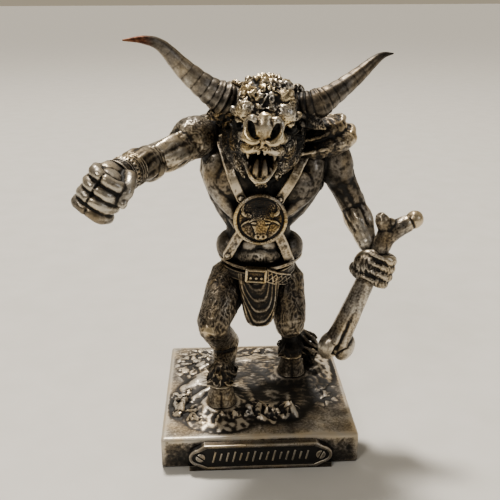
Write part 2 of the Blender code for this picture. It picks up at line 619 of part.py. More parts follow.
def hollows():
    """Cutters for the nostrils, the mouth, the ears and the navel."""
    bm = bmesh.new()
    for side in (-1, 1):
        lump(bm, (4.0 * side, -35.6, -5.8), (1.8, 3.6, 2.9), aim=(-0.35 * side, -0.2, 1), frame=HEAD, rings=7)
        lump(bm, (12.0 * side, -18.4, 1.4), (2.2, 2.4, 1.3), frame=HEAD, rings=6)
    lump(bm, (0, -26.5, -17.6), (4.5, 9.5, 3.4), frame=HEAD, rings=8)
    lump(bm, (1.6, -15.5, 69.6), (0.9, 2.6, 1.2), rings=6)
    bmesh.ops.scale(bm, vec=(PART, PART, PART), verts=bm.verts)
    cutter = as_cutter(object_from(bm, "hollows"))
    cutter.location.z = SOLE_Z
    return cutter


def sole_cut():
    """A slab just under the soles, which cuts them flat."""
    bm = bmesh.new()
    side, deep = 140 * PART, 12 * PART
    bmesh.ops.create_cube(bm, size=1, matrix=Matrix.Translation((0, 0, -deep / 2)) @ Matrix.Diagonal((side, side, deep, 1)))
    cutter = as_cutter(object_from(bm, "sole_cut"))
    cutter.location.z = SOLE_Z
    return cutter


def minotaur():
    bm = bmesh.new()
    torso(bm)
    neck_and_shoulders(bm)
    legs(bm)
    skin = BVHTree.FromBMesh(bm)
    loincloth(bm)
    dressed = BVHTree.FromBMesh(bm)
    head(bm)
    horns(bm)
    mane(bm)
    arm_right(bm)
    arm_left(bm)
    pauldron(bm)
    club(bm)
    tail(bm)
    harness(bm, skin)
    belt(bm, dressed)
    medallion(bm, skin)
    bmesh.ops.scale(bm, vec=(PART, PART, PART), verts=bm.verts)
    figure = object_from(bm, "minotaur", finish_material("antique_metal"))
    figure.location.z = SOLE_Z

    fuse = figure.modifiers.new("fuse", "REMESH")
    fuse.mode = "VOXEL"
    fuse.voxel_size = FIGURE_HEIGHT / CLAY_CELLS_IN_HEIGHT
    soften = figure.modifiers.new("soften", "SMOOTH")
    soften.factor = 0.5
    soften.iterations = 2
    for name, cutter in (("hollow", hollows()), ("flatten_soles", sole_cut())):
        cut = figure.modifiers.new(name, "BOOLEAN")
        cut.operation = "DIFFERENCE"
        cut.object = cutter
        if name == "hollow":
            thin = figure.modifiers.new("thin_out", "DECIMATE")
            thin.ratio = FACES_KEPT_IN_THOUSAND / 1000
    return figure


# The plinth


def ground_height(x, y):
    """Height of the rocky ground over the plinth's flat top, at a place in parts."""
    from_middle = math.hypot((x + 2) / 37, (y - 1) / 37)
    ragged = 0.16 * noise.noise(Vector((x, y, 3)) / 9)
    cover = min(max((1.0 - from_middle + ragged) / 0.22, 0), 1)
    rock = 1 - noise.voronoi(Vector((x, y, 0.0)) / 7.5)[0][0]
    crag = abs(noise.noise(Vector((x, y, 8)) / 4))
    return cover * (1.4 + 2.8 * rock * rock + 2.4 * crag)


def seats():
    """Flat places under each hoof and the tail's tip: x, y and radius in parts."""
    return (
        (*HOOF_RIGHT, HOOF_RADIUS + 2.2), (*HOOF_LEFT, HOOF_RADIUS + 2.2), (*TAIL_TIP, TAIL_TIP_RADIUS + 1.2),
    )


def top_height(x, y):
    """The ground over the plinth's top at a place in metres: seats are flat, and the edge stays bare."""
    mound = MOUND_HEIGHT / PART
    height = ground_height(x / PART, y / PART)
    for seat_x, seat_y, radius in seats():
        away = math.hypot(x / PART - seat_x, y / PART - seat_y)
        blend = min(max((away - radius) / 3.0, 0), 1)
        height = blend * height + (1 - blend) * mound
        if away < radius:
            height = mound
    near_edge = min(PLINTH_WIDTH / 2 - abs(x), PLINTH_DEPTH / 2 - abs(y))
    fade = min(max((near_edge - 2.5 * PLINTH_CHAMFER) / (2.5 * PLINTH_CHAMFER), 0), 1)
    return PART * max(height, 0) * fade


def plinth():
    bm = bmesh.new()
    cells = GROUND_CELLS
    inner_x, inner_y = PLINTH_WIDTH / 2 - PLINTH_CHAMFER, PLINTH_DEPTH / 2 - PLINTH_CHAMFER
    grid = []
    for j in range(cells + 1):
        row = []
        for i in range(cells + 1):
            x, y = inner_x * (2 * i / cells - 1), inner_y * (2 * j / cells - 1)
            row.append(bm.verts.new((x, y, PLINTH_HEIGHT + top_height(x, y))))
        grid.append(row)
    for j in range(cells):
        for i in range(cells):
            corners = (grid[j][i], grid[j][i + 1], grid[j + 1][i + 1], grid[j + 1][i])
            bm.faces.new(corners)
    edge = (grid[0] + [row[-1] for row in grid[1:]] + grid[-1][-2::-1]
            + [row[0] for row in grid[-2:0:-1]])
    skirt = []
    for vert in edge:
        x = math.copysign(PLINTH_WIDTH / 2, vert.co.x) if abs(abs(vert.co.x) - inner_x) < 1e-7 else vert.co.x
        y = math.copysign(PLINTH_DEPTH / 2, vert.co.y) if abs(abs(vert.co.y) - inner_y) < 1e-7 else vert.co.y
        skirt.append(bm.verts.new((x, y, PLINTH_HEIGHT - PLINTH_CHAMFER)))
    corner_steps = [k for k in range(len(skirt)) if k % cells == 0]
    foot = [bm.verts.new((skirt[k].co.x, skirt[k].co.y, 0)) for k in corner_steps]
    count = len(edge)
    for k in range(count):
        after = (k + 1) % count
        bm.faces.new((edge[k], skirt[k], skirt[after], edge[after]))
    for side, start in enumerate(corner_steps):
        run = [skirt[(start + k) % count] for k in range(cells + 1)]
        bm.faces.new([foot[side], foot[(side + 1) % 4], *reversed(run)])
    bm.faces.new(foot)
    bmesh.ops.triangulate(bm, faces=[f for f in bm.faces if len(f.verts) > 3])
    return object_from(bm, "plinth", finish_material("stone_metal"))


# The nameplate


def plate_outline(width, height, ear, grow):
    """Plaque outline about its centre: a long bar with hollow corners and a round ear at each end."""
    ear_x = width / 2 - ear
    bar_x = ear_x - 0.35 * ear
    half = height / 2 + grow
    points = []
    for side in (1, -1):
        for i in range(9):
            angle = math.radians(-75 + 150 * i / 8)
            x = ear_x + (ear + grow) * math.cos(angle)
            z = (0.86 * ear + grow) * math.sin(angle)
            points.append((side * x, side * z))
        points.append((side * (bar_x + grow), side * half))
        points.append((-side * (bar_x + grow), side * half))
    return points


def prism(bm, outline, back, front):
    """A plate from y = back to y = front with the (x, z) outline."""
    rings = [[bm.verts.new((x, y, z)) for x, z in outline] for y in (back, front)]
    count = len(outline)
    for k in range(count):
        after = (k + 1) % count
        bm.faces.new((rings[0][k], rings[0][after], rings[1][after], rings[1][k]))
    bm.faces.new(rings[0][::-1])
    bm.faces.new(rings[1])


def plate_tool(name, outline, back, front, turn=0.0, at=(0, 0)):
    bm = bmesh.new()
    cos, sin = math.cos(turn), math.sin(turn)
    prism(bm, [(at[0] + x * cos + z * sin, at[1] - x * sin + z * cos) for x, z in outline], back, front)
    return object_from(bm, name)


def join_by(target, tool, operation):
    tool.location = target.location
    as_cutter(tool)
    modifier = target.modifiers.new(tool.name, "BOOLEAN")
    modifier.operation = operation
    modifier.object = tool


def nameplate():
    height = PLINTH_HEIGHT - PLATE_TOP_MARGIN
    centre_z = height / 2 + PLATE_FOOT_HEIGHT * 0.15
    face = -PLATE_THICKNESS
    bar = height - 0.3 * PLATE_FOOT_HEIGHT
    bm = bmesh.new()
    prism(bm, plate_outline(PLATE_WIDTH, bar, PLATE_EAR, 0), 0, face)
    plate = object_from(bm, "nameplate", finish_material("plate_metal"))
    plate.location = (0, -PLINTH_DEPTH / 2 - RESTING_GAP, centre_z)

    foot_low = -centre_z
    foot = [(-PLATE_WIDTH / 2, foot_low), (PLATE_WIDTH / 2, foot_low),
            (PLATE_WIDTH / 2, foot_low + PLATE_FOOT_HEIGHT), (-PLATE_WIDTH / 2, foot_low + PLATE_FOOT_HEIGHT)]
    join_by(plate, plate_tool("plate_foot", foot, 0, 0.8 * face), "UNION")
    field = plate_outline(PLATE_WIDTH, bar, PLATE_EAR, -PLATE_FRAME)
    field_face = face + PLATE_FIELD_DEPTH
    join_by(plate, plate_tool("plate_field", field, field_face, face - PLATE_THICKNESS), "DIFFERENCE")

    for side in (-1, 1):
        x = side * (PLATE_WIDTH / 2 - PLATE_EAR)
        disc = [(SCREW_RADIUS * math.cos(math.tau * k / 20), SCREW_RADIUS * math.sin(math.tau * k / 20))
                for k in range(20)]
        slot = [(-SCREW_RADIUS, -SCREW_SLOT / 2), (SCREW_RADIUS, -SCREW_SLOT / 2),
                (SCREW_RADIUS, SCREW_SLOT / 2), (-SCREW_RADIUS, SCREW_SLOT / 2)]
        head_face = field_face - 0.8 * PLATE_FIELD_DEPTH
        join_by(plate, plate_tool(f"screw_{side}", disc, field_face + 0.5 * PLATE_FIELD_DEPTH, head_face, at=(x, 0)),
                "UNION")
        turn = math.radians(40 if side < 0 else -65)
        join_by(plate, plate_tool(f"slot_{side}", slot, head_face + 0.45 * PLATE_FIELD_DEPTH,
                                  face - PLATE_THICKNESS, turn, (x, 0)), "DIFFERENCE")
    row_width = PLATE_WIDTH - 4.4 * PLATE_EAR
    for k in range(STROKE_COUNT):
        lean = math.radians(STROKE_LEAN)
        tall = STROKE_HEIGHT * (1.0, 0.7, 0.85)[k % 3] / 2
        stroke = [(-STROKE_WIDTH / 2, -tall), (STROKE_WIDTH / 2, -tall), (STROKE_WIDTH / 2, tall),
                  (-STROKE_WIDTH / 2, tall)]
        x = row_width * (k / (STROKE_COUNT - 1) - 0.5)
        join_by(plate, plate_tool(f"stroke_{k}", stroke, field_face + 0.5 * PLATE_FIELD_DEPTH,
                                  field_face - 0.5 * PLATE_FIELD_DEPTH, lean, (x, 0)), "UNION")
    return plate


def main():
    clear_scene()
    plinth()
    nameplate()
    minotaur()


main()
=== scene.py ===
import json
import math

import bmesh
import bpy
import numpy as np
from mathutils import Euler, Matrix, Vector, noise
from mathutils.bvhtree import BVHTree

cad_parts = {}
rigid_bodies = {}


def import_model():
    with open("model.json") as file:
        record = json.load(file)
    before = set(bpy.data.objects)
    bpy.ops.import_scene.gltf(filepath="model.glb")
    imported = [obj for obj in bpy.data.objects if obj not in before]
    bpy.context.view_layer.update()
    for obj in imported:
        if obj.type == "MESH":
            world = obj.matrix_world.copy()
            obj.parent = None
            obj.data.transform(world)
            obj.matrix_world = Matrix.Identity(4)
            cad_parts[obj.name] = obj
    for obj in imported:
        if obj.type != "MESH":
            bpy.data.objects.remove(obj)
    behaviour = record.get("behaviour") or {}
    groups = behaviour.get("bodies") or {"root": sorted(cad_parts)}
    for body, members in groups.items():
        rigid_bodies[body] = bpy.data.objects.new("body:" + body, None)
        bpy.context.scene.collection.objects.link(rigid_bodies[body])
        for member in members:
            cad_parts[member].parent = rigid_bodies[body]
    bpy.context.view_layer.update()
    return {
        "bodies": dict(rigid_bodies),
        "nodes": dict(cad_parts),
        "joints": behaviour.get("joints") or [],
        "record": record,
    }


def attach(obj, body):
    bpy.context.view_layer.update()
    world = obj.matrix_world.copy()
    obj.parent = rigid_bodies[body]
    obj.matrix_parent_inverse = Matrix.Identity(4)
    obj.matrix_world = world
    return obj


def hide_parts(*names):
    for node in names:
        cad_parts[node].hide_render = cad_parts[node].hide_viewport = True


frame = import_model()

mm = 0.001

# The figure is modelled in millimetres with its soles at zero, then set down on the ground
plinthSize = {"width": 90.0, "depth": 90.0, "height": 15.0, "chamfer": 1.4, "mound": 4.0, "gap": 0.3}
soleHeight = plinthSize["height"] + plinthSize["mound"] + plinthSize["gap"]
toFigure = Matrix.Translation((0, 0, soleHeight * mm)) @ Matrix.Scale(mm, 4)
toPlinth = Matrix.Scale(mm, 4)


# General helpers

def selectOnly(obj):
    for other in bpy.context.selected_objects:
        other.select_set(False)
    obj.select_set(True)
    bpy.context.view_layer.objects.active = obj


def applyModifier(obj, kind, **settings):
    modifier = obj.modifiers.new(kind.lower(), kind)
    for key, value in settings.items():
        setattr(modifier, key, value)
    selectOnly(obj)
    bpy.ops.object.modifier_apply(modifier=modifier.name)


def objectFrom(bm, name, place=toFigure):
    bmesh.ops.transform(bm, matrix=place, verts=bm.verts)
    bmesh.ops.recalc_face_normals(bm, faces=bm.faces)
    mesh = bpy.data.meshes.new(name)
    bm.to_mesh(mesh)
    bm.free()
    obj = bpy.data.objects.new(name, mesh)
    bpy.context.scene.collection.objects.link(obj)
    return obj


def rnd(*seeds):  # a steady scatter value from 0 to 1
    total = sum(seed * factor for seed, factor in zip(seeds, (12.9898, 78.233, 37.719, 9.151)))
    return (math.sin(total) * 43758.5453) % 1.0


# Clay tools: closed shapes that overlap and are then fused by a voxel remesh

def frameTowards(direction, hint=(0, 0, 1)):
    z = Vector(direction).normalized()
    x = Vector(hint) - Vector(hint).dot(z) * z
    if x.length < 1e-4:
        x = z.orthogonal()
    x.normalize()
    return Matrix((x, z.cross(x), z)).transposed().to_4x4()


def lump(bm, centre, radii, aim=(0, 0, 1), hint=(1, 0, 0), frame=Matrix(), rings=12):
    place = frame @ Matrix.Translation(centre) @ frameTowards(aim, hint)
    bmesh.ops.create_uvsphere(bm, u_segments=2 * rings, v_segments=rings, radius=1,
                              matrix=place @ Matrix.Diagonal((*radii, 1)))


def smoothPath(stations, steps):
    path = [Vector(s) for s in stations]
    ends = [2 * path[0] - path[1], *path, 2 * path[-1] - path[-2]]
    points = []
    for a, b, c, d in zip(ends, ends[1:], ends[2:], ends[3:]):
        for i in range(steps):
            t = i / steps
            points.append(0.5 * (2 * b + (c - a) * t + (2 * a - 5 * b + 4 * c - d) * t**2
                                 + (3 * b - a - 3 * c + d) * t**3))
    return [*points, path[-1]]


def skinRings(bm, rings):
    sides = len(rings[0])
    for ring, following in zip(rings, rings[1:]):
        for k in range(sides):
            after = (k + 1) % sides
            bm.faces.new((ring[k], ring[after], following[after], following[k]))
    bm.faces.new(rings[0][::-1])
    bm.faces.new(rings[-1])


def tube(bm, stations, flat=1.0, hint=(0, 0, 1), frame=Matrix(), sides=14, steps=6):
    points = smoothPath(stations, steps)
    middle = [frame @ p.to_3d() for p in points]
    radii = [max(p[3], 0.12) for p in points]
    turnedHint = frame.to_3x3() @ Vector(hint)
    rings = []

    def addRing(centre, turn, radius):
        rings.append([bm.verts.new(centre + turn @ Vector((radius * math.cos(math.tau * k / sides),
                                                           flat * radius * math.sin(math.tau * k / sides), 0)))
                      for k in range(sides)])

    last = len(middle) - 1
    for i, (centre, radius) in enumerate(zip(middle, radii)):
        turn = frameTowards(middle[min(i + 1, last)] - middle[max(i - 1, 0)], turnedHint).to_3x3()
        outward = turn.col[2] * radius
        if i == 0:
            addRing(centre - 0.8 * outward, turn, 0.55 * radius)
        addRing(centre, turn, radius)
        if i == last:
            addRing(centre + 0.8 * outward, turn, 0.55 * radius)
    skinRings(bm, rings)


def wavyLock(bm, root, out, down, size, phase, frame=Matrix(), thick=0.34):  # a hanging lock with an S wave
    root, out, down = Vector(root), Vector(out).normalized(), Vector(down).normalized()
    side = out.cross(down).normalized()
    stations = []
    for i in range(6):
        t = i / 5
        sway = 0.34 * size * math.sin(phase + 5.2 * t) * (0.3 + t)
        lift = 0.38 * math.sin(math.pi * min(t * 1.25, 1)) + 0.10 * math.sin(phase + 4 * t)
        spot = root + size * (0.95 * t * down + lift * out) + sway * side
        stations.append((*spot, size * thick * (1.0 - 0.72 * t**1.6)))
    tube(bm, stations, frame=frame, sides=8, steps=2)


def outerShells(obj):  # drops sealed inner bubbles and crumbs that the remesh leaves
    bm = bmesh.new()
    bm.from_mesh(obj.data)
    seen = set()
    doomed = []
    for vert in bm.verts:
        if vert.index in seen:
            continue
        island, queue = [], [vert]
        seen.add(vert.index)
        while queue:
            v = queue.pop()
            island.append(v)
            for edge in v.link_edges:
                other = edge.other_vert(v)
                if other.index not in seen:
                    seen.add(other.index)
                    queue.append(other)
        faces = {f for v in island for f in v.link_faces} if len(island) < 4000 else None
        if faces is not None:
            volume = sum(f.calc_center_median().dot(f.normal) * f.calc_area() for f in faces) / 3
            if volume < 2e-9:
                doomed += island
    bmesh.ops.delete(bm, geom=doomed, context="VERTS")
    bm.to_mesh(obj.data)
    bm.free()


def meshArrays(obj):
    mesh = obj.data
    co = np.empty(len(mesh.vertices) * 3, np.float32)
    normals = np.empty_like(co)
    edges = np.empty(len(mesh.edges) * 2, np.int32)
    mesh.vertices.foreach_get("co", co)
    mesh.vertices.foreach_get("normal", normals)
    mesh.edges.foreach_get("vertices", edges)
    return co.reshape(-1, 3).astype(float), normals.reshape(-1, 3).astype(float), edges.reshape(-1, 2)


def setPoints(obj, co):
    obj.data.vertices.foreach_set("co", co.astype(np.float32).ravel())
    obj.data.update()


def setAttribute(obj, name, values):
    layer = obj.data.attributes.get(name) or obj.data.attributes.new(name, "FLOAT", "POINT")
    layer.data.foreach_set("value", values.astype(np.float32))


def addRelief(obj, scales=((4, 0.05), (26, 0.28), (110, 0.9)), shares=((0.24, 0.24), (0.13, 0.3), (0.04, 0.2)), contrast=1.0):
    # Stores how far each point stands out of its surroundings, at three widths: rubbed edges against dirt-filled hollows
    co, normals, edges = meshArrays(obj)
    a, b = edges.T
    count = len(co)
    degree = np.maximum(np.bincount(a, minlength=count) + np.bincount(b, minlength=count), 1)[:, None]
    smooth, done, value = co.copy(), 0, np.full(count, 0.5)
    for (passes, reach), (ridge, hollow) in zip(scales, shares):
        while done < passes:
            total = np.stack([np.bincount(a, smooth[b, i], count) + np.bincount(b, smooth[a, i], count)
                              for i in range(3)], 1)
            smooth = 0.35 * smooth + 0.65 * total / degree
            done += 1
        proud = np.einsum("ij,ij->i", co - smooth, normals) / (reach * mm)
        value += np.where(proud > 0, ridge, hollow) * np.tanh(proud)
    setAttribute(obj, "relief", np.clip(0.5 + contrast * (value - 0.5), 0, 1))


def addSpots(obj, name, spots):  # soft round areas of more brass, or of painted light and shade and a lighter or darker wash
    co, _, _ = meshArrays(obj)
    co = co / mm - np.array((0, 0, soleHeight))
    value = np.zeros(len(co))
    for x, y, z, radius, amount in spots:
        away = np.linalg.norm(co - np.array((x, y, z)), axis=1) / radius
        value += amount * np.clip(1.5 - away, 0, 1)
    setAttribute(obj, name, np.clip(value, -1, 1))


def carve(obj, depthAt):  # moves each point along its normal by depthAt(place in mm, normal)
    co, normals, _ = meshArrays(obj)
    local = co / mm - np.array((0, 0, soleHeight))
    depth = np.array([depthAt(Vector(p), Vector(n)) for p, n in zip(local, normals)])
    setPoints(obj, co + normals * depth[:, None] * mm)


def strands(p, across, along, warp, strength):  # wavy combed hair: ridges that run along Z
    bend = warp * noise.noise(p / (4.2 * across)) + 0.5 * warp * noise.noise(p / (1.9 * across) + Vector((7, 3, 1)))
    q = Vector(((p.x + bend) / across, (p.y + 0.7 * bend) / across, p.z / along))
    ridge = 1 - abs(noise.noise(q)) * 2.4
    fine = 1 - abs(noise.noise(q * 2.3 + Vector((3, 9, 4)))) * 2.2
    return strength * (0.65 * ridge + 0.35 * fine - 0.45)


def curls(p, size, strength, turns=2.1):  # wiry squiggles of hair: thin ridges with deep gaps between
    q = p / size
    field = noise.noise(q + 0.45 * noise.noise_vector(q * 1.6)) + 0.3 * noise.noise(q * 2.7 + Vector((4, 8, 2)))
    return strength * (1 - abs(math.sin(math.pi * turns * field)) ** 0.8 - 0.42)


def sculpt(name, build, look):
    bm = bmesh.new()
    build(bm)
    obj = objectFrom(bm, name)
    applyModifier(obj, "REMESH", mode="VOXEL", voxel_size=look["voxel"] * mm)
    applyModifier(obj, "SMOOTH", factor=0.5, iterations=look["soften"])
    outerShells(obj)
    return obj


def thinOut(obj, triangles):
    count = sum(len(p.vertices) - 2 for p in obj.data.polygons)
    if count > triangles:
        applyModifier(obj, "DECIMATE", ratio=triangles / count)
    selectOnly(obj)
    bpy.ops.object.shade_smooth()


def finishPiece(obj, material, node, spots=(), lightShadeAndWashSpots=(), contrast=1.0):
    addRelief(obj, contrast=contrast)
    addSpots(obj, "gild", spots)
    addSpots(obj, "lightShadeAndWash", lightShadeAndWashSpots)
    obj.data.materials.clear()
    obj.data.materials.append(material)
    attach(obj, "root")
    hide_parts(node)
    triangles = sum(len(p.vertices) - 2 for p in obj.data.polygons)
    print("made", obj.name, triangles, "triangles")
    return obj


# Materials

def hexColour(code):  # sRGB hex to the linear values that shaders take
    values = [int(code[i:i + 2], 16) / 255 for i in (1, 3, 5)]
    return (*[v / 12.92 if v <= 0.04045 else ((v + 0.055) / 1.055) ** 2.4 for v in values], 1.0)


def addNode(tree, kind, inputs=None, **settings):
    node = tree.nodes.new(kind)
    for key, value in settings.items():
        setattr(node, key, value)
    for key, value in (inputs or {}).items():
        if isinstance(value, bpy.types.NodeSocket):
            tree.links.new(value, node.inputs[key])
        else:
            node.inputs[key].default_value = value
    return node


def rampNode(tree, value, stops):
    node = addNode(tree, "ShaderNodeValToRGB", {"Fac": value})
    ramp = node.color_ramp
    while len(ramp.elements) < len(stops):
        ramp.elements.new(0.5)
    for element, (place, code) in zip(ramp.elements, stops):
        element.position = place
        element.color = hexColour(code)
    return node.outputs["Color"]


def antiqueMetal(name, look):
    # Cold-cast resin, moulded and hand finished: black wash in the hollows, pewter and brass wax rubbed over the high
    # parts; painted shade near other surfaces and painted light and shade from the spot attribute are laid over that
    material = bpy.data.materials.new(name)
    material.use_nodes = True
    tree = material.node_tree
    shader = tree.nodes["Principled BSDF"]
    place = addNode(tree, "ShaderNodeTexCoord").outputs["Object"]
    relief = addNode(tree, "ShaderNodeAttribute", attribute_name="relief").outputs["Fac"]
    gild = addNode(tree, "ShaderNodeAttribute", attribute_name="gild").outputs["Fac"]

    def math2(kind, a, b, clamp=False):
        return addNode(tree, "ShaderNodeMath", {0: a, 1: b}, operation=kind, use_clamp=clamp).outputs[0]

    def noiseAt(size, detail=3.0, rough=0.55):  # size is the width of one blotch in mm
        return addNode(tree, "ShaderNodeTexNoise", {"Vector": place, "Scale": 1 / (size * mm), "Detail": detail,
                                                    "Roughness": rough}).outputs["Fac"]

    blotch = noiseAt(look.get("blotchSize", 7.0))
    grain = noiseAt(look.get("grainSize", 0.9), 4.0, 0.7)
    pits = addNode(tree, "ShaderNodeTexVoronoi", {"Vector": place, "Scale": 1 / (look.get("pitSize", 0.8) * mm)},
                   feature="F1").outputs["Distance"]
    # Ambient occlusion: darkens the black wash gathered in narrow hollows, and paints shade wherever another surface is
    # near, as under the chin and between parts
    hollowWashAndShade = addNode(tree, "ShaderNodeAmbientOcclusion", {"Distance": look.get("hollowWashAndShade", 6.0) * mm},
                      samples=6).outputs["AO"]
    wearLightAndShade = math2("ADD", relief, math2("MULTIPLY", math2("SUBTRACT", blotch, 0.5), look.get("blotches", 0.35)))
    wearLightAndShade = math2("ADD", wearLightAndShade, math2("MULTIPLY", math2("SUBTRACT", grain, 0.5), look.get("grain", 0.5)))
    # The spot attribute: painted light on lit tops and painted shade where shadow falls, with some lighter or darker
    # wash
    lightShadeAndWash = addNode(tree, "ShaderNodeAttribute", attribute_name="lightShadeAndWash").outputs["Fac"]
    wearLightAndShade = math2("ADD", math2("ADD", wearLightAndShade, lightShadeAndWash), look.get("rub", 0.0))
    hollowWashAndShadeRamp = addNode(tree, "ShaderNodeMapRange", {"Value": hollowWashAndShade, "From Min": 0.25, "From Max": 0.85,
                                                       "To Min": -0.42, "To Max": 0.05}).outputs[0]
    wearLightAndShade = math2("ADD", wearLightAndShade, hollowWashAndShadeRamp, True)
    pewter = rampNode(tree, wearLightAndShade, look["pewter"])
    brass = rampNode(tree, wearLightAndShade, look["brass"])
    patch = math2("ADD", math2("MULTIPLY", math2("SUBTRACT", noiseAt(look.get("patchSize", 11.0), 2.0), 0.5), 3.2),
                  look["brassShare"])
    patch = math2("MAXIMUM", math2("MAXIMUM", patch, 0.0, True), gild, True)
    colour = addNode(tree, "ShaderNodeMix", {0: patch, 6: pewter, 7: brass}, data_type="RGBA").outputs[2]
    rough = addNode(tree, "ShaderNodeMapRange", {"Value": wearLightAndShade, "From Min": 0.15, "From Max": 0.85, "To Min": 0.62,
                                                 "To Max": look.get("polish", 0.3)}).outputs[0]
    rough = math2("ADD", rough, math2("MULTIPLY", math2("SUBTRACT", grain, 0.5), 0.22))
    metal = addNode(tree, "ShaderNodeMapRange", {"Value": wearLightAndShade, "From Min": 0.1, "From Max": 0.5, "To Min": 0.35,
                                                 "To Max": look.get("metallic", 0.85)}).outputs[0]
    height = math2("ADD", math2("MULTIPLY", grain, 0.7), math2("MULTIPLY", pits, look.get("pitting", 0.3)))
    bump = addNode(tree, "ShaderNodeBump", {"Height": height, "Strength": look.get("bump", 0.35),
                                            "Distance": look.get("bumpDepth", 0.25) * mm}).outputs["Normal"]
    for socket, value in (("Base Color", colour), ("Roughness", rough), ("Metallic", metal), ("Normal", bump)):
        tree.links.new(value, shader.inputs[socket])
    return material


pewterStops = ((0.0, "#050404"), (0.3, "#0f0e0c"), (0.46, "#221f1b"), (0.6, "#433e37"), (0.76, "#78726a"), (0.94, "#c2bbae"))
bronzeStops = ((0.0, "#050403"), (0.3, "#120e0b"), (0.46, "#28221b"), (0.6, "#4c4234"), (0.76, "#85755a"), (0.94, "#ccb996"))
brassStops = ((0.0, "#060402"), (0.3, "#17110a"), (0.46, "#382c1b"), (0.6, "#655233"), (0.76, "#9f8656"), (0.94, "#e0ca9a"))

finishes = {
    "skin": {"pewter": pewterStops, "brass": bronzeStops, "brassShare": 0.2, "rub": -0.01, "polish": 0.3, "grain": 0.3},
    "fur": {"pewter": pewterStops, "brass": bronzeStops, "brassShare": 0.45, "rub": 0.0, "polish": 0.33, "grain": 0.4},
    "face": {"pewter": pewterStops, "brass": brassStops, "brassShare": 0.2, "rub": 0.0, "polish": 0.28, "grain": 0.3},
    "leather": {"pewter": pewterStops, "brass": bronzeStops, "brassShare": 0.5, "rub": 0.06, "polish": 0.32, "grain": 0.4},
    "brass": {"pewter": pewterStops, "brass": brassStops, "brassShare": 0.55, "rub": 0.1, "polish": 0.28, "grain": 0.35},
    "rock": {"pewter": pewterStops, "brass": bronzeStops, "brassShare": 0.3, "rub": 0.1, "polish": 0.36, "grain": 0.5,
             "grainSize": 0.7, "hollowWashAndShade": 9.0, "metallic": 0.5},
}
skinMetal = antiqueMetal("castPewterSkin", finishes["skin"])
furMetal = antiqueMetal("castPewterFur", finishes["fur"])
faceMetal = antiqueMetal("castPewterFace", finishes["face"])
leatherMetal = antiqueMetal("castBronzeStraps", finishes["leather"])
brassMetal = antiqueMetal("rubbedBrass", finishes["brass"])
rockMetal = antiqueMetal("castRock", finishes["rock"])
print("materials ready")


# Body: torso, neck, arms and hands

bodyLook = {"voxel": 0.42, "soften": 4, "triangles": 145000}
clubSpots = {"bottom": Vector((38.6, -15, 27.5)), "grip": Vector((54.6, -11.5, 64.8)), "bend": Vector((61.2, -9.8, 80.5))}
clubAxis = (clubSpots["grip"] - clubSpots["bottom"]).normalized()


def torso(bm):
    chest, waist, hips = (4, 1, 101), (1.6, 1, 78), (1.6, 3, 59)
    lump(bm, chest, (22.5, 14.5, 19))
    lump(bm, waist, (15.5, 11.5, 14))
    lump(bm, hips, (17.6, 12.5, 13))
    lump(bm, (4.5, 7, 113), (25, 11, 11))
    for side, breast, latTop, oblique in (
        (-1, (-8, -9, 105), (-19, 4, 110), (-11, 1, 72)),
        (1, (16, -9, 103), (27, 6, 103), (15.6, 1, 71)),
    ):
        lump(bm, breast, (12, 6.0, 9), aim=(0.25 * side, -0.1, 1))
        lump(bm, oblique, (7.5, 9.5, 7.5), rings=16)
        waistSide = (waist[0] + side * 9.5, 3, 82)
        tube(bm, [(*latTop, 7), (*(Vector(latTop) * 0.5 + Vector(waistSide) * 0.5), 7.5), (*waistSide, 5.5)])
        for row, z in enumerate((94, 89, 84)):
            ribX = waist[0] + side * (14.5 - 1.6 * row)
            tube(bm, [(ribX + 2 * side, -1, z + 3, 1.6), (ribX - 1.5 * side, -8, z, 2.2)])
        lump(bm, (waist[0] + side * 4.0, -7.2, 75.4), (4.9, 3.8, 4.8), rings=16)
        lump(bm, (waist[0] + side * 4.2, -8.2, 83.5), (5.0, 4.2, 4.6))
        lump(bm, (4.5 + 12 * side, 13.5, 106), (9, 5.5, 10), aim=(-0.3 * side, 0, 1))
        lump(bm, (4.5 + 15 * side, 12, 95), (7, 5.5, 10), aim=(0.35 * side, 0, 1))
        tube(bm, [(3 + 4 * side, 12.5, 96, 4), (2 + 3.6 * side, 11, 80, 3.8), (1.6 + 4 * side, 12.5, 66, 4.5)])
        lump(bm, (1.6 + 8.5 * side, 10, 54), (8.8, 8, 9.5))
    lump(bm, (1.6, -6.6, 69.6), (11.0, 4.8, 6.2), rings=16)
    # the flank muscles that run down beside each strap
    tube(bm, [(-17.5, -3.5, 116, 6.6), (-17, -6.2, 106, 6.2), (-13.6, -9.0, 97, 4.6), (-10.2, -11.0, 91, 2.4)], sides=20)
    tube(bm, [(25.5, -3, 113, 6.6), (24, -6.2, 104, 6.2), (19.2, -9.0, 97, 4.6), (14, -11.0, 91.5, 2.4)], sides=20)
    tube(bm, [(4.5, 8, 108, 17), (4.8, 5, 122, 16.5), (5.4, -3, 134, 14)])
    for x, z in ((-12, 125), (22, 119)):
        lump(bm, (x, 4, z), (11, 9, 8), aim=(1 if x < 0 else -1, 0, 0.9), hint=(0, 1, 0))
    lump(bm, (4.5, 13, 119), (16, 8, 11))


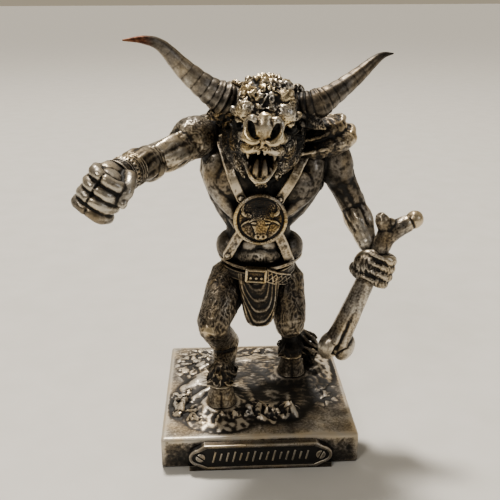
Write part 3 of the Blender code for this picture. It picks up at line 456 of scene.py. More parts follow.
def fist(bm, centre, thumbAxis, distal, thumbSide, size):
    x = Vector(thumbAxis).normalized()
    y = (Vector(distal) - Vector(distal).dot(x) * x).normalized()
    turn = Matrix((x, y, x.cross(y))).transposed().to_4x4()
    place = Matrix.Translation(centre) @ turn @ Matrix.Scale(size, 4)
    lump(bm, (0, -1.5, 2.6), (8, 8.2, 4.6), frame=place)
    lump(bm, (0, 2.6, -2), (8.2, 5.6, 5.4), frame=place)
    lump(bm, (5.2 * thumbSide, -5, -1.5), (4, 5.5, 4.6), frame=place)
    lump(bm, (6.2 * thumbSide, -2.0, 2.0), (3.2, 6.4, 4.6), frame=place)
    lump(bm, (6.0 * thumbSide, 3.4, -0.8), (2.8, 4.8, 4.6), frame=place)
    for finger in range(4):
        across = (1.5 - finger) * 4.1 * thumbSide
        reach = (0, 0.5, 0.2, -0.8)[finger]
        tube(bm, [(across, -3, 6.2, 0.8), (across, 2.5, 6.4, 1.1), (across, 6, 5.2, 1.2)], frame=place, sides=8)
        tube(bm, [(across, 4.5, 4.6, 2.2), (across, 8.4 + reach, 3, 2.5), (across, 9.3 + reach, -1.6, 2.1),
                  (across, 7.6 + 0.5 * reach, -5.6, 2.35), (across, 1.9, -6.7, 2.0), (across, -1.6, -4, 1.8)],
             frame=place, sides=12)
    tube(bm, [(6.6 * thumbSide, -5.5, -1.5, 2.9), (9 * thumbSide, 0.5, -5.4, 2.5), (6.4 * thumbSide, 5.4, -8.4, 2.3),
              (2.2 * thumbSide, 7.2, -9.2, 1.7)], frame=place)
    lump(bm, (2.4 * thumbSide, 7.2, -10.4), (1.6, 1.5, 0.9), frame=place)  # thumb nail


armLines = {
    "forward": (Vector((-24, -4, 123.5)), Vector((-45.5, -26, 118.8)), Vector((-56, -49, 117.2))),
    "club": (Vector((35, 4, 115)), Vector((47.6, 6.5, 88.5)), Vector((53.2, -6, 72.8))),
}


def armForward(bm):
    shoulder, elbow, wrist = armLines["forward"]
    along, reach = elbow - shoulder, wrist - elbow
    tube(bm, [(*shoulder, 7.2), (*(shoulder + 0.5 * along), 7.1), (*elbow, 6.1)], sides=20)
    lump(bm, shoulder + 0.6 * along + Vector((0.6, -0.4, -3.4)), (5.0, 4.8, 12), aim=along, rings=16)
    lump(bm, elbow + Vector((1.2, -2.0, -2.6)), (5.4, 5.4, 7.4), aim=along + reach, rings=16)
    lump(bm, elbow, (6.8, 6.8, 7.2), aim=along + reach, rings=16)
    lump(bm, (-27, -5.5, 124.6), (10, 9.4, 12), aim=along, rings=16)
    lump(bm, (-24, 2.5, 122.5), (8.5, 7, 10), aim=along)
    tube(bm, [(-12, 6, 126, 8.5), (-21, 1, 126.5, 7.6), (-29, -8, 124.5, 6.4)])
    lump(bm, shoulder + 0.58 * along + Vector((0, -1.5, 2.4)), (4.8, 4.5, 10), aim=along, rings=16)
    lump(bm, shoulder + 0.52 * along + Vector((0.6, -2.4, -1.6)), (4.6, 4.6, 10.5), aim=along, rings=16)
    lump(bm, shoulder + 0.5 * along + Vector((0, 2.0, -2.6)), (4.6, 4.4, 10.5), aim=along)
    tube(bm, [(*elbow, 6.2), (*(elbow + 0.35 * reach), 7.0), (*wrist, 5.0)], sides=20)
    lump(bm, elbow + 0.3 * reach + Vector((-1.6, 0, 2.0)), (4.6, 5.2, 9.0), aim=reach, rings=16)
    lump(bm, elbow + 0.3 * reach + Vector((2.8, -0.4, -1.6)), (4.2, 4.8, 9.4), aim=reach, rings=16)
    fist(bm, wrist + 8.5 * reach.normalized() + Vector((0, 0, -2.5)), Vector((-0.55, 0, -0.83)), reach, -1, 1.12)


def armWithClub(bm):
    shoulder, elbow, wrist = armLines["club"]
    along, reach = elbow - shoulder, wrist - elbow
    tube(bm, [(*shoulder, 7.6), (*(shoulder + 0.5 * along), 7.0), (*elbow, 6.2)], sides=20)
    lump(bm, (37, 3.2, 111.5), (8.6, 9.0, 14.5), aim=(0.36, 0.05, -1), rings=16)
    lump(bm, shoulder + 0.5 * along + Vector((-1.4, -2.8, 0)), (4.8, 4.6, 9.5), aim=along)
    lump(bm, shoulder + 0.45 * along + Vector((0.4, 3.0, 0)), (4.8, 4.6, 10.5), aim=along)
    tube(bm, [(*elbow, 6.1), (*(elbow + 0.35 * reach), 6.3), (*wrist, 4.4)], sides=20)
    lump(bm, elbow + 0.24 * reach + Vector((2.6, -1.4, -0.6)), (4.4, 5.0, 9.6), aim=reach, rings=16)
    lump(bm, elbow + 0.3 * reach + Vector((-2.2, -1.6, 0)), (3.6, 4.6, 9.4), aim=reach, rings=16)
    lump(bm, elbow - 0.1 * along + Vector((0.4, 0.6, 0)), (6.3, 6.6, 9.5), aim=along + reach, rings=16)
    fist(bm, clubSpots["grip"] + Vector((-0.6, -0.6, 0.3)), -clubAxis, (0.9, -0.35, -0.5), 1, 0.9)


def bodyForm(bm):
    torso(bm)
    armForward(bm)
    armWithClub(bm)


def muscleRidges(p, start, end, count, reach, phase):  # long cords of muscle that run from start to end
    along = end - start
    share = (p - start).dot(along) / along.length_squared
    if not 0.02 < share < 0.98:
        return 0
    off = p - start - share * along
    if off.length > reach:
        return 0
    turn = frameTowards(along).to_3x3().transposed() @ off
    angle = math.atan2(turn.y, turn.x)
    fade = math.sin(math.pi * share)
    wander = 1.1 * noise.noise(p / 9)
    return fade * (0.42 * math.cos(count * angle + phase + 2.2 * share + wander)
                   + 0.16 * math.cos(2.7 * count * angle + 5 * share + 2 * wander))


def bodyCarving(p, n):
    depth = 0.05 * noise.noise(p / 1.1) + 0.22 * noise.noise(p / 3.1) + 0.12 * abs(noise.noise(p / 1.7))
    for name, (shoulder, elbow, wrist) in armLines.items():
        depth += muscleRidges(p, shoulder.lerp(elbow, 0.2), elbow, 4, 11, 0.4)
        depth += muscleRidges(p, elbow.lerp(wrist, 0.05), elbow.lerp(wrist, 0.75), 5, 9, 1.9)
        crease = (p - elbow).dot((wrist - elbow).normalized())
        if name == "forward" and abs(crease) < 2.6 and (p - elbow).length < 10 and n.y < 0.3:  # creases in the bend of the elbow
            depth -= 0.22 * (0.5 + 0.5 * math.cos(4.6 * crease + 2.5 * noise.noise(p / 2))) * (1 - abs(crease) / 2.6)
    if p.x < -17 and p.z > 112 and (p - Vector((-27, -5.5, 124.6))).length < 13.5:  # hammered shoulder cap
        depth += 0.32 * abs(noise.noise(p / 1.5)) - 0.1
    if n.y < 0 and abs(p.x - 4.5) < 8.5 and p.z > 92:  # coarse hair on the breastbone
        depth += min(1, (8.5 - abs(p.x - 4.5)) / 2.5) * (strands(p, 1.1, 3.6, 1.4, 0.5) - 0.3)
    if p.z < 72:
        depth += min(1, (72 - p.z) / 5) * strands(p, 1.3, 5.5, 1.4, 0.4)
    navel = (p - Vector((-0.4, -12.6, 70.2))).length
    if navel < 2:
        depth -= 0.9 * (1 - navel / 2)
    return depth


body = sculpt("body", bodyForm, bodyLook)
carve(body, bodyCarving)
skinMesh = bmesh.new()
torso(skinMesh)
torsoTree = BVHTree.FromBMesh(skinMesh)
skinMesh.free()
thinOut(body, bodyLook["triangles"])
# Painted shade on the chest under the head, the flanks, waist, hips, nape and lower fingers; painted light on the arms
# and fists where the light falls
finishPiece(body, skinMetal, "minotaur", spots=(
    (-27, -13, 126, 5, 0.9), (-49, -34, 121, 6, 0.9), (60, -16, 66, 6, 0.8), (62, -14, 60, 5, 0.6), (-62, -62, 120, 5, 0.5)),
    lightShadeAndWashSpots=((4.5, -12, 108, 13, -0.4), (-38, -20, 121, 12, 0.24), (-24, -6, 123, 9, 0.1), (-60, -60, 116, 10, 0.16),
           (51, -3, 80, 10, 0.22), (58, -14, 66, 8, 0.18), (40, 3, 105, 13, -0.2), (-15, -3, 95, 12, -0.1),
           (24, -3, 95, 13, -0.18), (-12, -4, 74, 10, -0.2), (16, -4, 74, 10, -0.2), (1.6, -12, 75, 8, 0.07), (17, -10, 110, 10, 0.07),
           (1.6, 3, 60, 12, -0.16), (3, 8, 128, 14, -0.2), (4.5, -12, 118, 12, -0.2), (-67, -62, 104, 8, -0.3)),
    contrast=0.75)


# Legs: furred, with a tail that reaches the ground, and split hooves

legLook = {"voxel": 0.4, "soften": 3, "triangles": 115000}
legJoints = (
    {"hip": (-11.5, 2, 56), "knee": (-20.8, -18.5, 39), "hock": (-14.4, -1, 21), "fetlock": (-16.6, -14, 13.5),
     "hoof": (-17.3, -20.5), "shank": 1.28},
    {"hip": (14.5, 4, 54), "knee": (16.6, -7, 34), "hock": (18.6, 17, 21), "fetlock": (18.8, 12.5, 12),
     "hoof": (19.0, 7.0), "shank": 1.0},
)
tailTip = (29.5, 15.0)


def legForm(bm):
    lump(bm, (1.6, 3, 58), (17.0, 11.8, 11))
    for joints in legJoints:
        hip, knee, hock, fetlock = (Vector(joints[name]) for name in ("hip", "knee", "hock", "fetlock"))
        hoofX, hoofY = joints["hoof"]
        shank = joints["shank"]
        thigh, shin = knee - hip, hock - knee
        tube(bm, [(*hip, 9.9), (*(hip + 0.5 * thigh), 9.2), (*knee, 7.5)], sides=20)
        lump(bm, hip + 0.55 * thigh + Vector((0, 3.5, 0)), (7.2, 6.6, 12), aim=thigh)
        tube(bm, [(*knee, 7.0), (*(knee + 0.45 * shin), 7.0), (*hock, 5.2 * shank)], sides=20)
        lump(bm, knee + Vector((-1.4, -3.4, -0.2)), (3.8, 3.2, 4.2), rings=16)
        lump(bm, knee + 0.5 * shin + Vector((2.0, 1.8, 0)), (4.8, 4.8, 8), aim=shin)
        tube(bm, [(*hock, 4.8 * shank), (*(0.5 * (hock + fetlock)), 4.4 * shank), (*fetlock, 4.5 * shank)], sides=20)
        lump(bm, hock + Vector((0, 2.2, 1.2)), (3.2, 3.0, 3.8))
        tube(bm, [(*fetlock, 4.4 * shank), (hoofX, hoofY + 1.8, 9.5, 5.0)], steps=2)
        for i in range(56):  # ragged feather of hair over the hoof
            angle = math.tau * i / 28 + 0.2 * (i // 28)
            out = Vector((math.cos(angle), math.sin(angle), 0))
            root = fetlock.lerp(Vector((hoofX, hoofY + 1.6, 10)), 0.5 * (i // 28)) + 3.3 * shank * out
            root.z += 2.6 - 2.0 * (i // 28)
            wavyLock(bm, root, 0.6 * out, 0.16 * out + Vector((0.14 * math.sin(3 * i), -0.1, -1)), 7.2 - 2.2 * rnd(i, 3),
                     6 * rnd(i, 5), thick=0.1)
    tube(bm, [(2.5, 13, 60, 3.2), (5, 21, 52, 2.8), (12, 24.5, 38, 2.0), (20, 22, 25, 1.8), (25, 18.5, 16, 2.0)])
    for i in range(16):  # tuft
        angle = math.tau * i / 8
        out = Vector((math.cos(angle), math.sin(angle), 0))
        root = Vector((25.4, 18.2, 17 - 4 * (i // 8))) + (1.2 + 0.6 * (i // 8)) * out
        foot = Vector((*tailTip, 0)) + 2.6 * out
        wavyLock(bm, root, 0.5 * out, foot - root, 16 - 3.5 * (i // 8), 5 * rnd(i, 17), thick=0.075)
    tube(bm, [(24.6, 18.6, 17, 2.0), (27, 17, 9, 2.6), (*tailTip, 1.5, 3.2)])


def legCarving(p, n):
    knee = min((p - (Vector(j["knee"]) + Vector((-1.8, -6.4, 0)))).length for j in legJoints)
    bare = min(1, max(0, (knee - 0.8) / 2.4))
    folds = 0.5 * noise.noise(Vector((p.x / 4.5, p.y / 4.5, p.z / 9))) + 0.2 * abs(noise.noise(p / 3.4))
    return bare * (strands(p, 1.5, 9.0, 2.6, 0.27) + folds - 0.1) + 0.05 * noise.noise(p / 0.8)


legs = sculpt("legs", legForm, legLook)
carve(legs, legCarving)
co, _, _ = meshArrays(legs)
co[:, 2] = np.maximum(co[:, 2], soleHeight * mm)  # nothing hangs below the soles
setPoints(legs, co)
thinOut(legs, legLook["triangles"])
# Painted highlight on the knee and the front of the forward leg; painted shade between the legs, on the rear lower leg,
# the fetlock and the tail
finishPiece(legs, furMetal, "minotaur", spots=(
    (-22.6, -24.5, 39, 3.2, 1.0), (15, -12, 33, 3.4, 0.6), (-17, -10, 30, 7, 0.5), (19, -2, 44, 7, 0.5)),
    lightShadeAndWashSpots=((-22.6, -25, 39, 2.6, 0.3), (-16, -6, 24, 9, 0.2), (-16.6, -14, 11, 6.5, -0.2), (18.8, 10, 13, 8, -0.26),
           (0, -4, 48, 11, -0.16), (-18, -12, 45, 9, 0.1), (26, 18, 14, 12, -0.15)), contrast=0.6)

hoofLook = {"top": 9.6, "topRadius": 4.9, "soleRadius": 7.2, "lean": -1.0, "cleft": 0.04, "sides": 112, "rows": 44}


def hoofForm(bm):
    sides, rows = hoofLook["sides"], hoofLook["rows"]
    for joints in legJoints:
        x, y = joints["hoof"]
        rings = []
        for i in range(rows + 1):
            share = i / rows  # from the sole up
            z = hoofLook["top"] * share
            radius = hoofLook["soleRadius"] + (hoofLook["topRadius"] - hoofLook["soleRadius"]) * share ** 0.9
            radius += 0.5 * math.exp(-((share - 0.93) / 0.05) ** 2) - (1.6 * max(0, share - 0.97) / 0.03)
            ring = []
            for k in range(sides):
                angle = math.tau * k / sides
                toFront = math.remainder(angle + math.pi / 2, math.tau)
                toBack = math.remainder(angle - math.pi / 2, math.tau)
                r = radius * (1 - hoofLook["cleft"] * (1 - 0.4 * share) * math.exp(-(toFront / 0.13) ** 2)
                              - 0.10 * math.exp(-(toBack / 0.2) ** 2)
                              + 0.05 * math.exp(-((abs(toFront) - 0.45) / 0.3) ** 2) * (1 - share))
                r += 0.06 * math.sin(16 * share + 3 * noise.noise(Vector((math.cos(angle), math.sin(angle), share)) * 1.5))
                r += 0.10 * noise.noise(Vector((r * math.cos(angle), r * math.sin(angle), z)) / 1.1)
                ring.append(bm.verts.new((x + r * math.cos(angle), y + 1.2 + hoofLook["lean"] * (1 - share)
                                          + 0.94 * r * math.sin(angle), z)))
            rings.append(ring)
        skinRings(bm, rings)


bm = bmesh.new()
hoofForm(bm)
hooves = objectFrom(bm, "hooves")
selectOnly(hooves)
bpy.ops.object.shade_smooth_by_angle(angle=math.radians(50))
finishPiece(hooves, leatherMetal, "minotaur", spots=((-17.3, -28, 5, 6, 0.8),), lightShadeAndWashSpots=((19, 7, 4, 8, -0.2),
                                                                                       (-17.3, -20.5, 3, 12, 0.02)))


# Head: long bull's head, roaring, with curls on the poll and a curly beard

headPlace = Matrix.Translation((4.4, -12.5, 138.4)) @ Euler(
    (math.radians(-3), math.radians(5), math.radians(-5))).to_matrix().to_4x4()
headLook = {"voxel": 0.3, "soften": 2, "triangles": 180000}


def faceForm(bm):
    at = {"frame": headPlace}
    lump(bm, (0, 3, 0), (15, 14.5, 12.5), **at)
    lump(bm, (0, -7, 2), (12, 9, 9), **at)
    tube(bm, [(0, -6, -8, 10), (0, -15, -8, 8.6), (0, -23, -7.4, 6.5), (0, -28.5, -6.6, 5.6)], flat=0.9, sides=20, **at)
    lump(bm, (0, -30.8, -6.0), (6.0, 4.0, 5.2), rings=16, **at)  # nose pad, a shield that narrows downwards
    tube(bm, [(0, -32.0, -1.4, 3.0), (0, -33.4, -4.0, 2.7), (0, -34.0, -7.4, 1.8), (0, -34.2, -9.8, 1.4)], flat=0.6,
         hint=(1, 0, 0), sides=18, **at)
    lump(bm, (0.4, -31.8, -0.6), (2.6, 1.8, 1.3), **at)
    tube(bm, [(0, -34.2, -9.6, 1.2), (0, -33.8, -12.2, 1.0)], **at)
    for side in (-1, 1):
        lump(bm, (4.4 * side, -31.8, -2.0), (2.3, 2.4, 1.8), aim=(-0.5 * side, 0, 1), **at)  # upper corners of the nose pad
        tube(bm, [(5.0 * side, -32.0, -1.0, 1.0), (6.8 * side, -31.8, -3.2, 1.15), (7.0 * side, -32.2, -6.4, 1.4),
                  (5.8 * side, -33.4, -9.2, 1.7), (3.6 * side, -34.6, -10.4, 1.3), (1.8 * side, -34.8, -10.0, 0.8)], **at)
        # upper lip, drawn up under the nose
        tube(bm, [(0.3 * side, -33.4, -12.0, 1.3), (2.6 * side, -33.2, -13.0, 1.8), (5.0 * side, -31.0, -13.6, 2.1),
                  (6.6 * side, -25.8, -14.0, 2.1), (7.4 * side, -19, -16.2, 1.8)], **at)
        tube(bm, [(6.6 * side, -28.6, -9.6, 1.8), (7.8 * side, -23, -9.8, 2.0), (9.2 * side, -16, -9, 2.4)], **at)
        for fold in range(3):  # wrinkles along the side of the muzzle
            y = -26.5 + 3.0 * fold
            tube(bm, [(5.0 * side, y + 1.2, -1.6, 0.5), (6.9 * side, y, -4.2, 0.8), (7.6 * side, y - 0.4, -7.8, 0.5)], **at)
        # heavy brow that overhangs a deep socket low at the side
        lump(bm, (7.6 * side, -17.4, -0.4), (5.0, 4.6, 4.8), aim=(0.12 * side, 0.1, 1), rings=16, **at)
        lump(bm, (6.8 * side, -13.6, 5.0), (5.0, 4.6, 4.6), **at)
        tube(bm, [(4.4 * side, -20.2, -3.0, 1.1), (7.6 * side, -20.6, -4.4, 1.5), (10.8 * side, -18.6, -3.0, 1.5),
                  (13.6 * side, -13.8, -0.4, 1.4)], **at)
        lump(bm, (11.4 * side, -14.2, -5.6), (2.2, 2.2, 2.0), **at)  # eyeball
        tube(bm, [(8.6 * side, -17.6, -7.4, 1.0), (11.2 * side, -16.4, -8.2, 1.1), (14.0 * side, -12.6, -6.8, 1.0)], **at)
        # furred cheek and jowl
        lump(bm, (8.8 * side, -12.5, -13.2), (5.0, 7.8, 7.6), rings=16, **at)
        lump(bm, (7.4 * side, -13.8, -20.4), (4.2, 6.4, 5.0), rings=16, **at)
        lump(bm, (10.6 * side, -5.5, -16.5), (3.8, 6.4, 6.6), rings=16, **at)
        tube(bm, [(13 * side, 1, -2, 3.6), (18.5 * side, -0.5, -3.2, 4.2), (23 * side, -1.5, -5, 2.6),
                  (25.5 * side, -2, -6.4, 0.8)], flat=0.5, hint=(0, 0.3, 1), **at)  # ear
        tube(bm, [(15.5 * side, -1.4, -3.0, 1.0), (19.5 * side, -2.6, -4.0, 1.3), (23 * side, -2.6, -5.4, 0.7)], **at)
        tube(bm, [(12 * side, 4, -8, 6), (11.5 * side, 0, -17, 6), (7 * side, -6, -24, 4.6)], **at)
    lump(bm, (0, -4, 7.6), (9.8, 9.4, 5.0), rings=16, **at)  # poll
    for i in range(12):  # forelock, in heaps of curls
        row, column = divmod(i, 2)
        across = (column - 0.5) * 3.6 + 0.7 * math.sin(2.4 * i)
        height = (-2.2, 1.2, 4.4, 7.4, 9.4, 10.6)[row]
        forward = (-20.2, -18.6, -16.6, -13.2, -9.0, -4.0)[row]
        size = 3.0 + 0.6 * rnd(i, 3)
        lump(bm, (across, forward + 0.25 * abs(across), height), (size, size, size), **at)
    for x, y, z, size in ((-3.5, -6, 11.4, 3.0), (2.5, -3, 12.2, 2.6), (6.5, -7, 9.6, 3.0), (-7.4, -8, 8.6, 3.0), (-1, 2, 11.6, 3)):
        lump(bm, (x, y, z), (size * 1.2, size, size * 0.8), **at)


def jawForm(bm):
    at = {"frame": headPlace}
    tube(bm, [(0, -5, -19, 8.2), (0, -13, -23.6, 5.8), (0, -21, -26.4, 3.6)], flat=0.9, **at)
    for side in (-1, 1):
        tube(bm, [(6.9 * side, -16, -17.4, 1.8), (6.1 * side, -20, -20.6, 1.2), (4.8 * side, -24.2, -23.4, 0.9),
                  (3.2 * side, -27.0, -25.6, 0.9), (1.4 * side, -27.8, -26.8, 1.0), (0, -28.0, -26.9, 1.0)], **at)  # lower lip
        tube(bm, [(1.7 * side, -25.8, -25.0, 1.5), (1.65 * side, -26.8, -21.6, 1.25), (1.5 * side, -27.2, -17.8, 0.4)],
             sides=10, **at)  # lower fang
        for k, (x, y, z) in enumerate(((3.9, -24.4, -23.4), (5.2, -21.8, -22), (5.9, -19.4, -20.8))):
            tube(bm, [(x * side, y, z, 0.9), (x * side, y - 0.3, z + 2.0 - 0.2 * k, 0.45)], sides=8, **at)
        tube(bm, [(5.4 * side, -27.6, -14, 0.9), (5.4 * side, -27.0, -16.4, 0.7), (5.2 * side, -26.4, -18.4, 0.3)],
             sides=10, **at)  # upper fang
        for x, y in ((1.3, -31.6), (3.2, -30.8)):
            tube(bm, [(x * side, y, -13.4, 1.0), (x * side, y + 0.2, -15.2, 0.6)], sides=8, **at)
    tube(bm, [(0, -11, -21.4, 2.6), (0, -18, -23.4, 2.3), (0, -22.4, -24.4, 1.4)], flat=1.5, **at)  # tongue
    for i in range(4):  # tip of the beard under the chin
        step = 0.3 + i / 5
        root = (1.6 * math.sin(2.1 * i), -25.4 + 12 * step, -27.0 - 0.6 * math.sin(3 * step))
        wavyLock(bm, root, (0.3 * math.sin(i), -0.8, -0.5), (0.1 * math.sin(2 * i), 0.3, -1), 3.6, 6 * rnd(i, 31),
                 thick=0.2, **at)


def hairForm(bm):
    at = {"frame": headPlace}
    for i in range(26):  # loose ends that break up the outline of the beard
        side = 1 if i % 2 else -1
        step = (i // 2) / 13
        root = Vector(((12.2 - 6.6 * step) * side, -7 - 13 * step, -12 - 13.0 * step))
        wavyLock(bm, root, (0.8 * side, -0.5, -0.2), (0.2 * side, -0.15, -1), 3.8, 6 * rnd(i, 19), thick=0.2, **at)
    for i in range(20):  # hair round the ears
        side = 1 if i % 2 else -1
        angle = math.tau * (i // 2) / 10
        root = Vector((14.0 * side, 0.5 + 4.0 * math.cos(angle), -3.5 + 4.4 * math.sin(angle)))
        wavyLock(bm, root, (side, 0.3 * math.cos(angle), 0.3 * math.sin(angle)), (0.45 * side, 0.2, -0.8), 5.4,
                 6 * rnd(i, 21), thick=0.22, **at)
    for i in range(30):  # the back of the poll
        row, column = divmod(i, 6)
        across = (column - 2.5) * 4.4 + 1.8 * (row % 2)
        wavyLock(bm, (across, 3 + 4 * row, 9.8 - 0.02 * across ** 2 - 1.0 * row ** 1.4), (0.06 * across, 0.3, 1),
                 (0.05 * across, 1, -0.3 - 0.15 * row), 6.6, 6 * rnd(i, 5), thick=0.26, **at)


def maneForm(bm):
    for i in range(96):
        row, column = divmod(i, 16)
        angle = math.radians(-112 + 15 * column + 7 * (row % 2))
        drop = row * 5.4
        spread = 14.8 + 0.2 * drop
        root = Vector((5 + spread * math.sin(angle), -2 + 0.45 * drop + (spread - 1) * max(math.cos(angle), -0.4),
                       141 - drop))
        out = Vector((math.sin(angle), math.cos(angle), 0))
        wavyLock(bm, root, 0.7 * out, out * 0.2 + Vector((0, 0.1, -1)), 10 + 2.5 * rnd(i, 6), 6 * rnd(i, 23), thick=0.24)
    lump(bm, (5, 4, 128), (15.5, 13, 15))


def headForm(bm):
    faceForm(bm)
    jawForm(bm)
    hairForm(bm)
    maneForm(bm)


headInverse = headPlace.inverted()


def headCarving(p, n):
    q = headInverse @ p
    depth = 0.04 * noise.noise(q / 0.7)
    for side in (-1, 1):
        nostril = q - Vector(((4.5 + 0.3 * (q.z + 5.6)) * side, -34.0, -5.6))
        reach = math.sqrt((nostril.x / 1.3) ** 2 + (nostril.z / 3.2) ** 2 + (nostril.y / 3.6) ** 2)
        if reach < 1:
            return -3.4 * (1 - reach * reach)
        socket = q - Vector((11.6 * side, -15.8, -5.6))  # a ring round the eyeball
        away = math.sqrt((socket.x / 2.9) ** 2 + (socket.z / 2.4) ** 2)
        if away < 1.5 and q.y < -9:
            depth -= 0.9 * math.exp(-((away - 0.95) / 0.28) ** 2)
    onNose = q.y < -25.5 and q.z > -12
    inMouth = abs(q.x) < 6.6 and q.y < -14 and -27.5 < q.z < -13.5
    if onNose or inMouth:
        return depth + 0.10 * noise.noise(q / 1.2) + 0.07 * abs(noise.noise(q / 0.55))
    if ((abs(q.x) - 7.8) / 5.4) ** 2 + ((q.z + 0.8) / 4.6) ** 2 < 1 and q.y < -10:  # brows: combed, not curled
        return depth + strands(Vector((q.z, q.y, q.x)), 0.9, 3.4, 1.5, 0.4)
    cheek = q.z < -8.5 and q.y < 0
    crown = q.z > -5.5 and q.y < 4 and abs(q.x) < 12.5
    if crown or cheek:
        return depth + (curls(q, 6.4, 1.35, 2.0) if crown else curls(q, 3.2, 0.85)) * (0.6 if q.y < -21 else 1)
    return depth + strands(p, 1.1, 3.6, 1.9, 0.6)


head = sculpt("head", headForm, headLook)
carve(head, headCarving)
thinOut(head, headLook["triangles"])


def inHead(places):
    return [(*(headPlace @ Vector(place)), radius, amount) for place, radius, amount in places]


# Painted light on the brows, forehead and crown; painted shade in the eye sockets, the open mouth, behind the ears, on
# the jowls and under the beard
finishPiece(head, faceMetal, "minotaur", spots=inHead((
    ((0, -34, -10), 5, 0.7), ((-6.5, -33, -8), 4, 0.8), ((-6, -30, -13.5), 4.5, 1.0), ((6.8, -33, -8), 3.5, 0.7),
    ((8.2, -20, -4), 3.4, 1.0), ((-8, -20, -4), 3, 0.7), ((7.6, -17, 4), 3.5, 0.5), ((0, -27, -26), 4, 0.5),
    ((-2, -6, 13), 6, 0.8), ((-8, -14, 8), 4, 0.5))), lightShadeAndWashSpots=inHead((
        ((0, -32, -6), 6, -0.02), ((-5, -31, -13), 4.5, 0.1), ((7.6, -21, -3), 4, 0.25), ((-7.6, -21, -3), 4, 0.2), ((0, -24, -19), 5.5, -0.4),
        ((12.6, -14, -4.5), 3.6, -0.45), ((11, -17, -7.5), 3.4, -0.3), ((-11, -17, -7.5), 3.4, -0.3),
        ((-12.6, -14, -4.5), 3.6, -0.4), ((0, -15, 6), 8, 0.1), ((8, -16, 2), 5, 0.2), ((-8, -16, 2), 5, 0.14),
        ((0, -4, 13), 9, 0.22), ((-15, -2, -6), 8, -0.3), ((16, -2, -6), 8, -0.3), ((-12, -10, -16), 7, -0.26),
        ((12, -10, -16), 7, -0.26), ((0, -8, -30), 10, -0.3))))


# Horns: ringed at the base, smooth at the tip

hornLook = {
    "hornForward": {"stations": [(-8, -9, 139.5, 6.6), (-14.5, -11, 142.6, 6.7), (-21.6, -12, 147.2, 5.4),
                                 (-30.6, -12.5, 155.2, 4.1), (-38.8, -16, 164.2, 2.6), (-45.5, -20, 166.9, 1.7),
                                 (-53.6, -24, 167, 0.3)], "collar": 0.16},
    "hornRight": {"stations": [(18, -9, 137.5, 6.4), (26, -10, 139.2, 6.3), (34.1, -8, 143.4, 4.8),
                               (44.2, -4, 150, 3.5), (52.5, 0, 156.2, 2.3), (57.2, 2.5, 158.6, 1.4),
                               (62, 4, 159.2, 0.3)], "collar": 0.2},
}


def buildHorn(name, look):
    bm = bmesh.new()
    points = smoothPath(look["stations"], 40)
    last = len(points) - 1
    sides = 48
    rings = []
    for i, point in enumerate(points):
        share = i / last
        turn = frameTowards((points[min(i + 1, last)] - points[max(i - 1, 0)]).to_3d()).to_3x3()
        fade = max(0, 1 - share / 0.62)
        phase = 46 * share ** 0.8
        ringed = 0.075 * (0.25 + fade) * (abs(math.sin(phase)) ** 0.6 * 1.4 - 0.9) * (1 if share < 0.7 else 0.4)
        collar = 0.12 * math.exp(-((share - look["collar"]) / 0.018) ** 2)
        collar += 0.06 * math.exp(-((share - look["collar"] - 0.05) / 0.012) ** 2)
        ring = []
        for k in range(sides):
            angle = math.tau * k / sides
            wobble = 0.02 * noise.noise(Vector((math.cos(angle) * 2, math.sin(angle) * 2, share * 26)))
            groove = 0.012 * math.sin(angle * 9 + 5 * share) * (0.4 + fade)
            uneven = 1 + 0.15 * noise.noise(Vector((math.cos(angle), math.sin(angle), share * 9)))
            radius = point[3] * (1 + ringed * uneven + collar + wobble + groove)
            ring.append(bm.verts.new(point.to_3d() + turn @ Vector((radius * math.cos(angle), radius * math.sin(angle), 0))))
        rings.append(ring)
    skinRings(bm, rings)
    horn = objectFrom(bm, name)
    selectOnly(horn)
    bpy.ops.object.shade_smooth()
    return horn


def hornMetal(name, tipStart, tipEnd, rub):
    # As the skin, with a last stretch of red-brown wax at the tip
    material = antiqueMetal(name, {"pewter": pewterStops, "brass": bronzeStops, "brassShare": 0.35, "rub": rub,
                                   "polish": 0.36, "grain": 0.3, "blotches": 0.4})
    tree = material.node_tree
    shader = tree.nodes["Principled BSDF"]
    base = shader.inputs["Base Color"].links[0].from_socket
    place = addNode(tree, "ShaderNodeTexCoord").outputs["Object"]
    across = addNode(tree, "ShaderNodeSeparateXYZ", {0: place}).outputs["X"]
    mottle = addNode(tree, "ShaderNodeTexNoise", {"Vector": place, "Scale": 1 / (2.2 * mm), "Detail": 3.0}).outputs["Fac"]
    shifted = addNode(tree, "ShaderNodeMath", {0: mottle, 1: 5 * mm, 2: across}, operation="MULTIPLY_ADD").outputs[0]
    tip = addNode(tree, "ShaderNodeMapRange", {"Value": shifted, "From Min": tipStart * mm, "From Max": tipEnd * mm,
                                               "To Min": 1.0, "To Max": 0.0}).outputs[0]
    red = rampNode(tree, mottle, ((0.3, "#301810"), (0.5, "#563120"), (0.7, "#8a5f42")))
    mixed = addNode(tree, "ShaderNodeMix", {0: tip, 6: base, 7: red}, data_type="RGBA").outputs[2]
    tree.links.new(mixed, shader.inputs["Base Color"])
    return material


hornMaterials = {"hornForward": hornMetal("castHornRedTip", -43, -39, -0.08),
                 "hornRight": hornMetal("castHorn", -200, -199, -0.19)}
# Each horn is painted darker at its root next to the head, as painted shade
for hornName, look in hornLook.items():
    base = look["stations"][1]
    finishPiece(buildHorn(hornName, look), hornMaterials[hornName], "minotaur",
                lightShadeAndWashSpots=((*base[:3], 10, -0.14), (*look["stations"][0][:3], 8, -0.2)))


# Straps: pulled tight over the torso

def taut(reaches, rounds=60):
    for _ in range(rounds):
        for i in range(1, len(reaches) - 1):
            reaches[i] = min(reaches[i], 0.5 * (reaches[i - 1] + reaches[i + 1]))
    return reaches


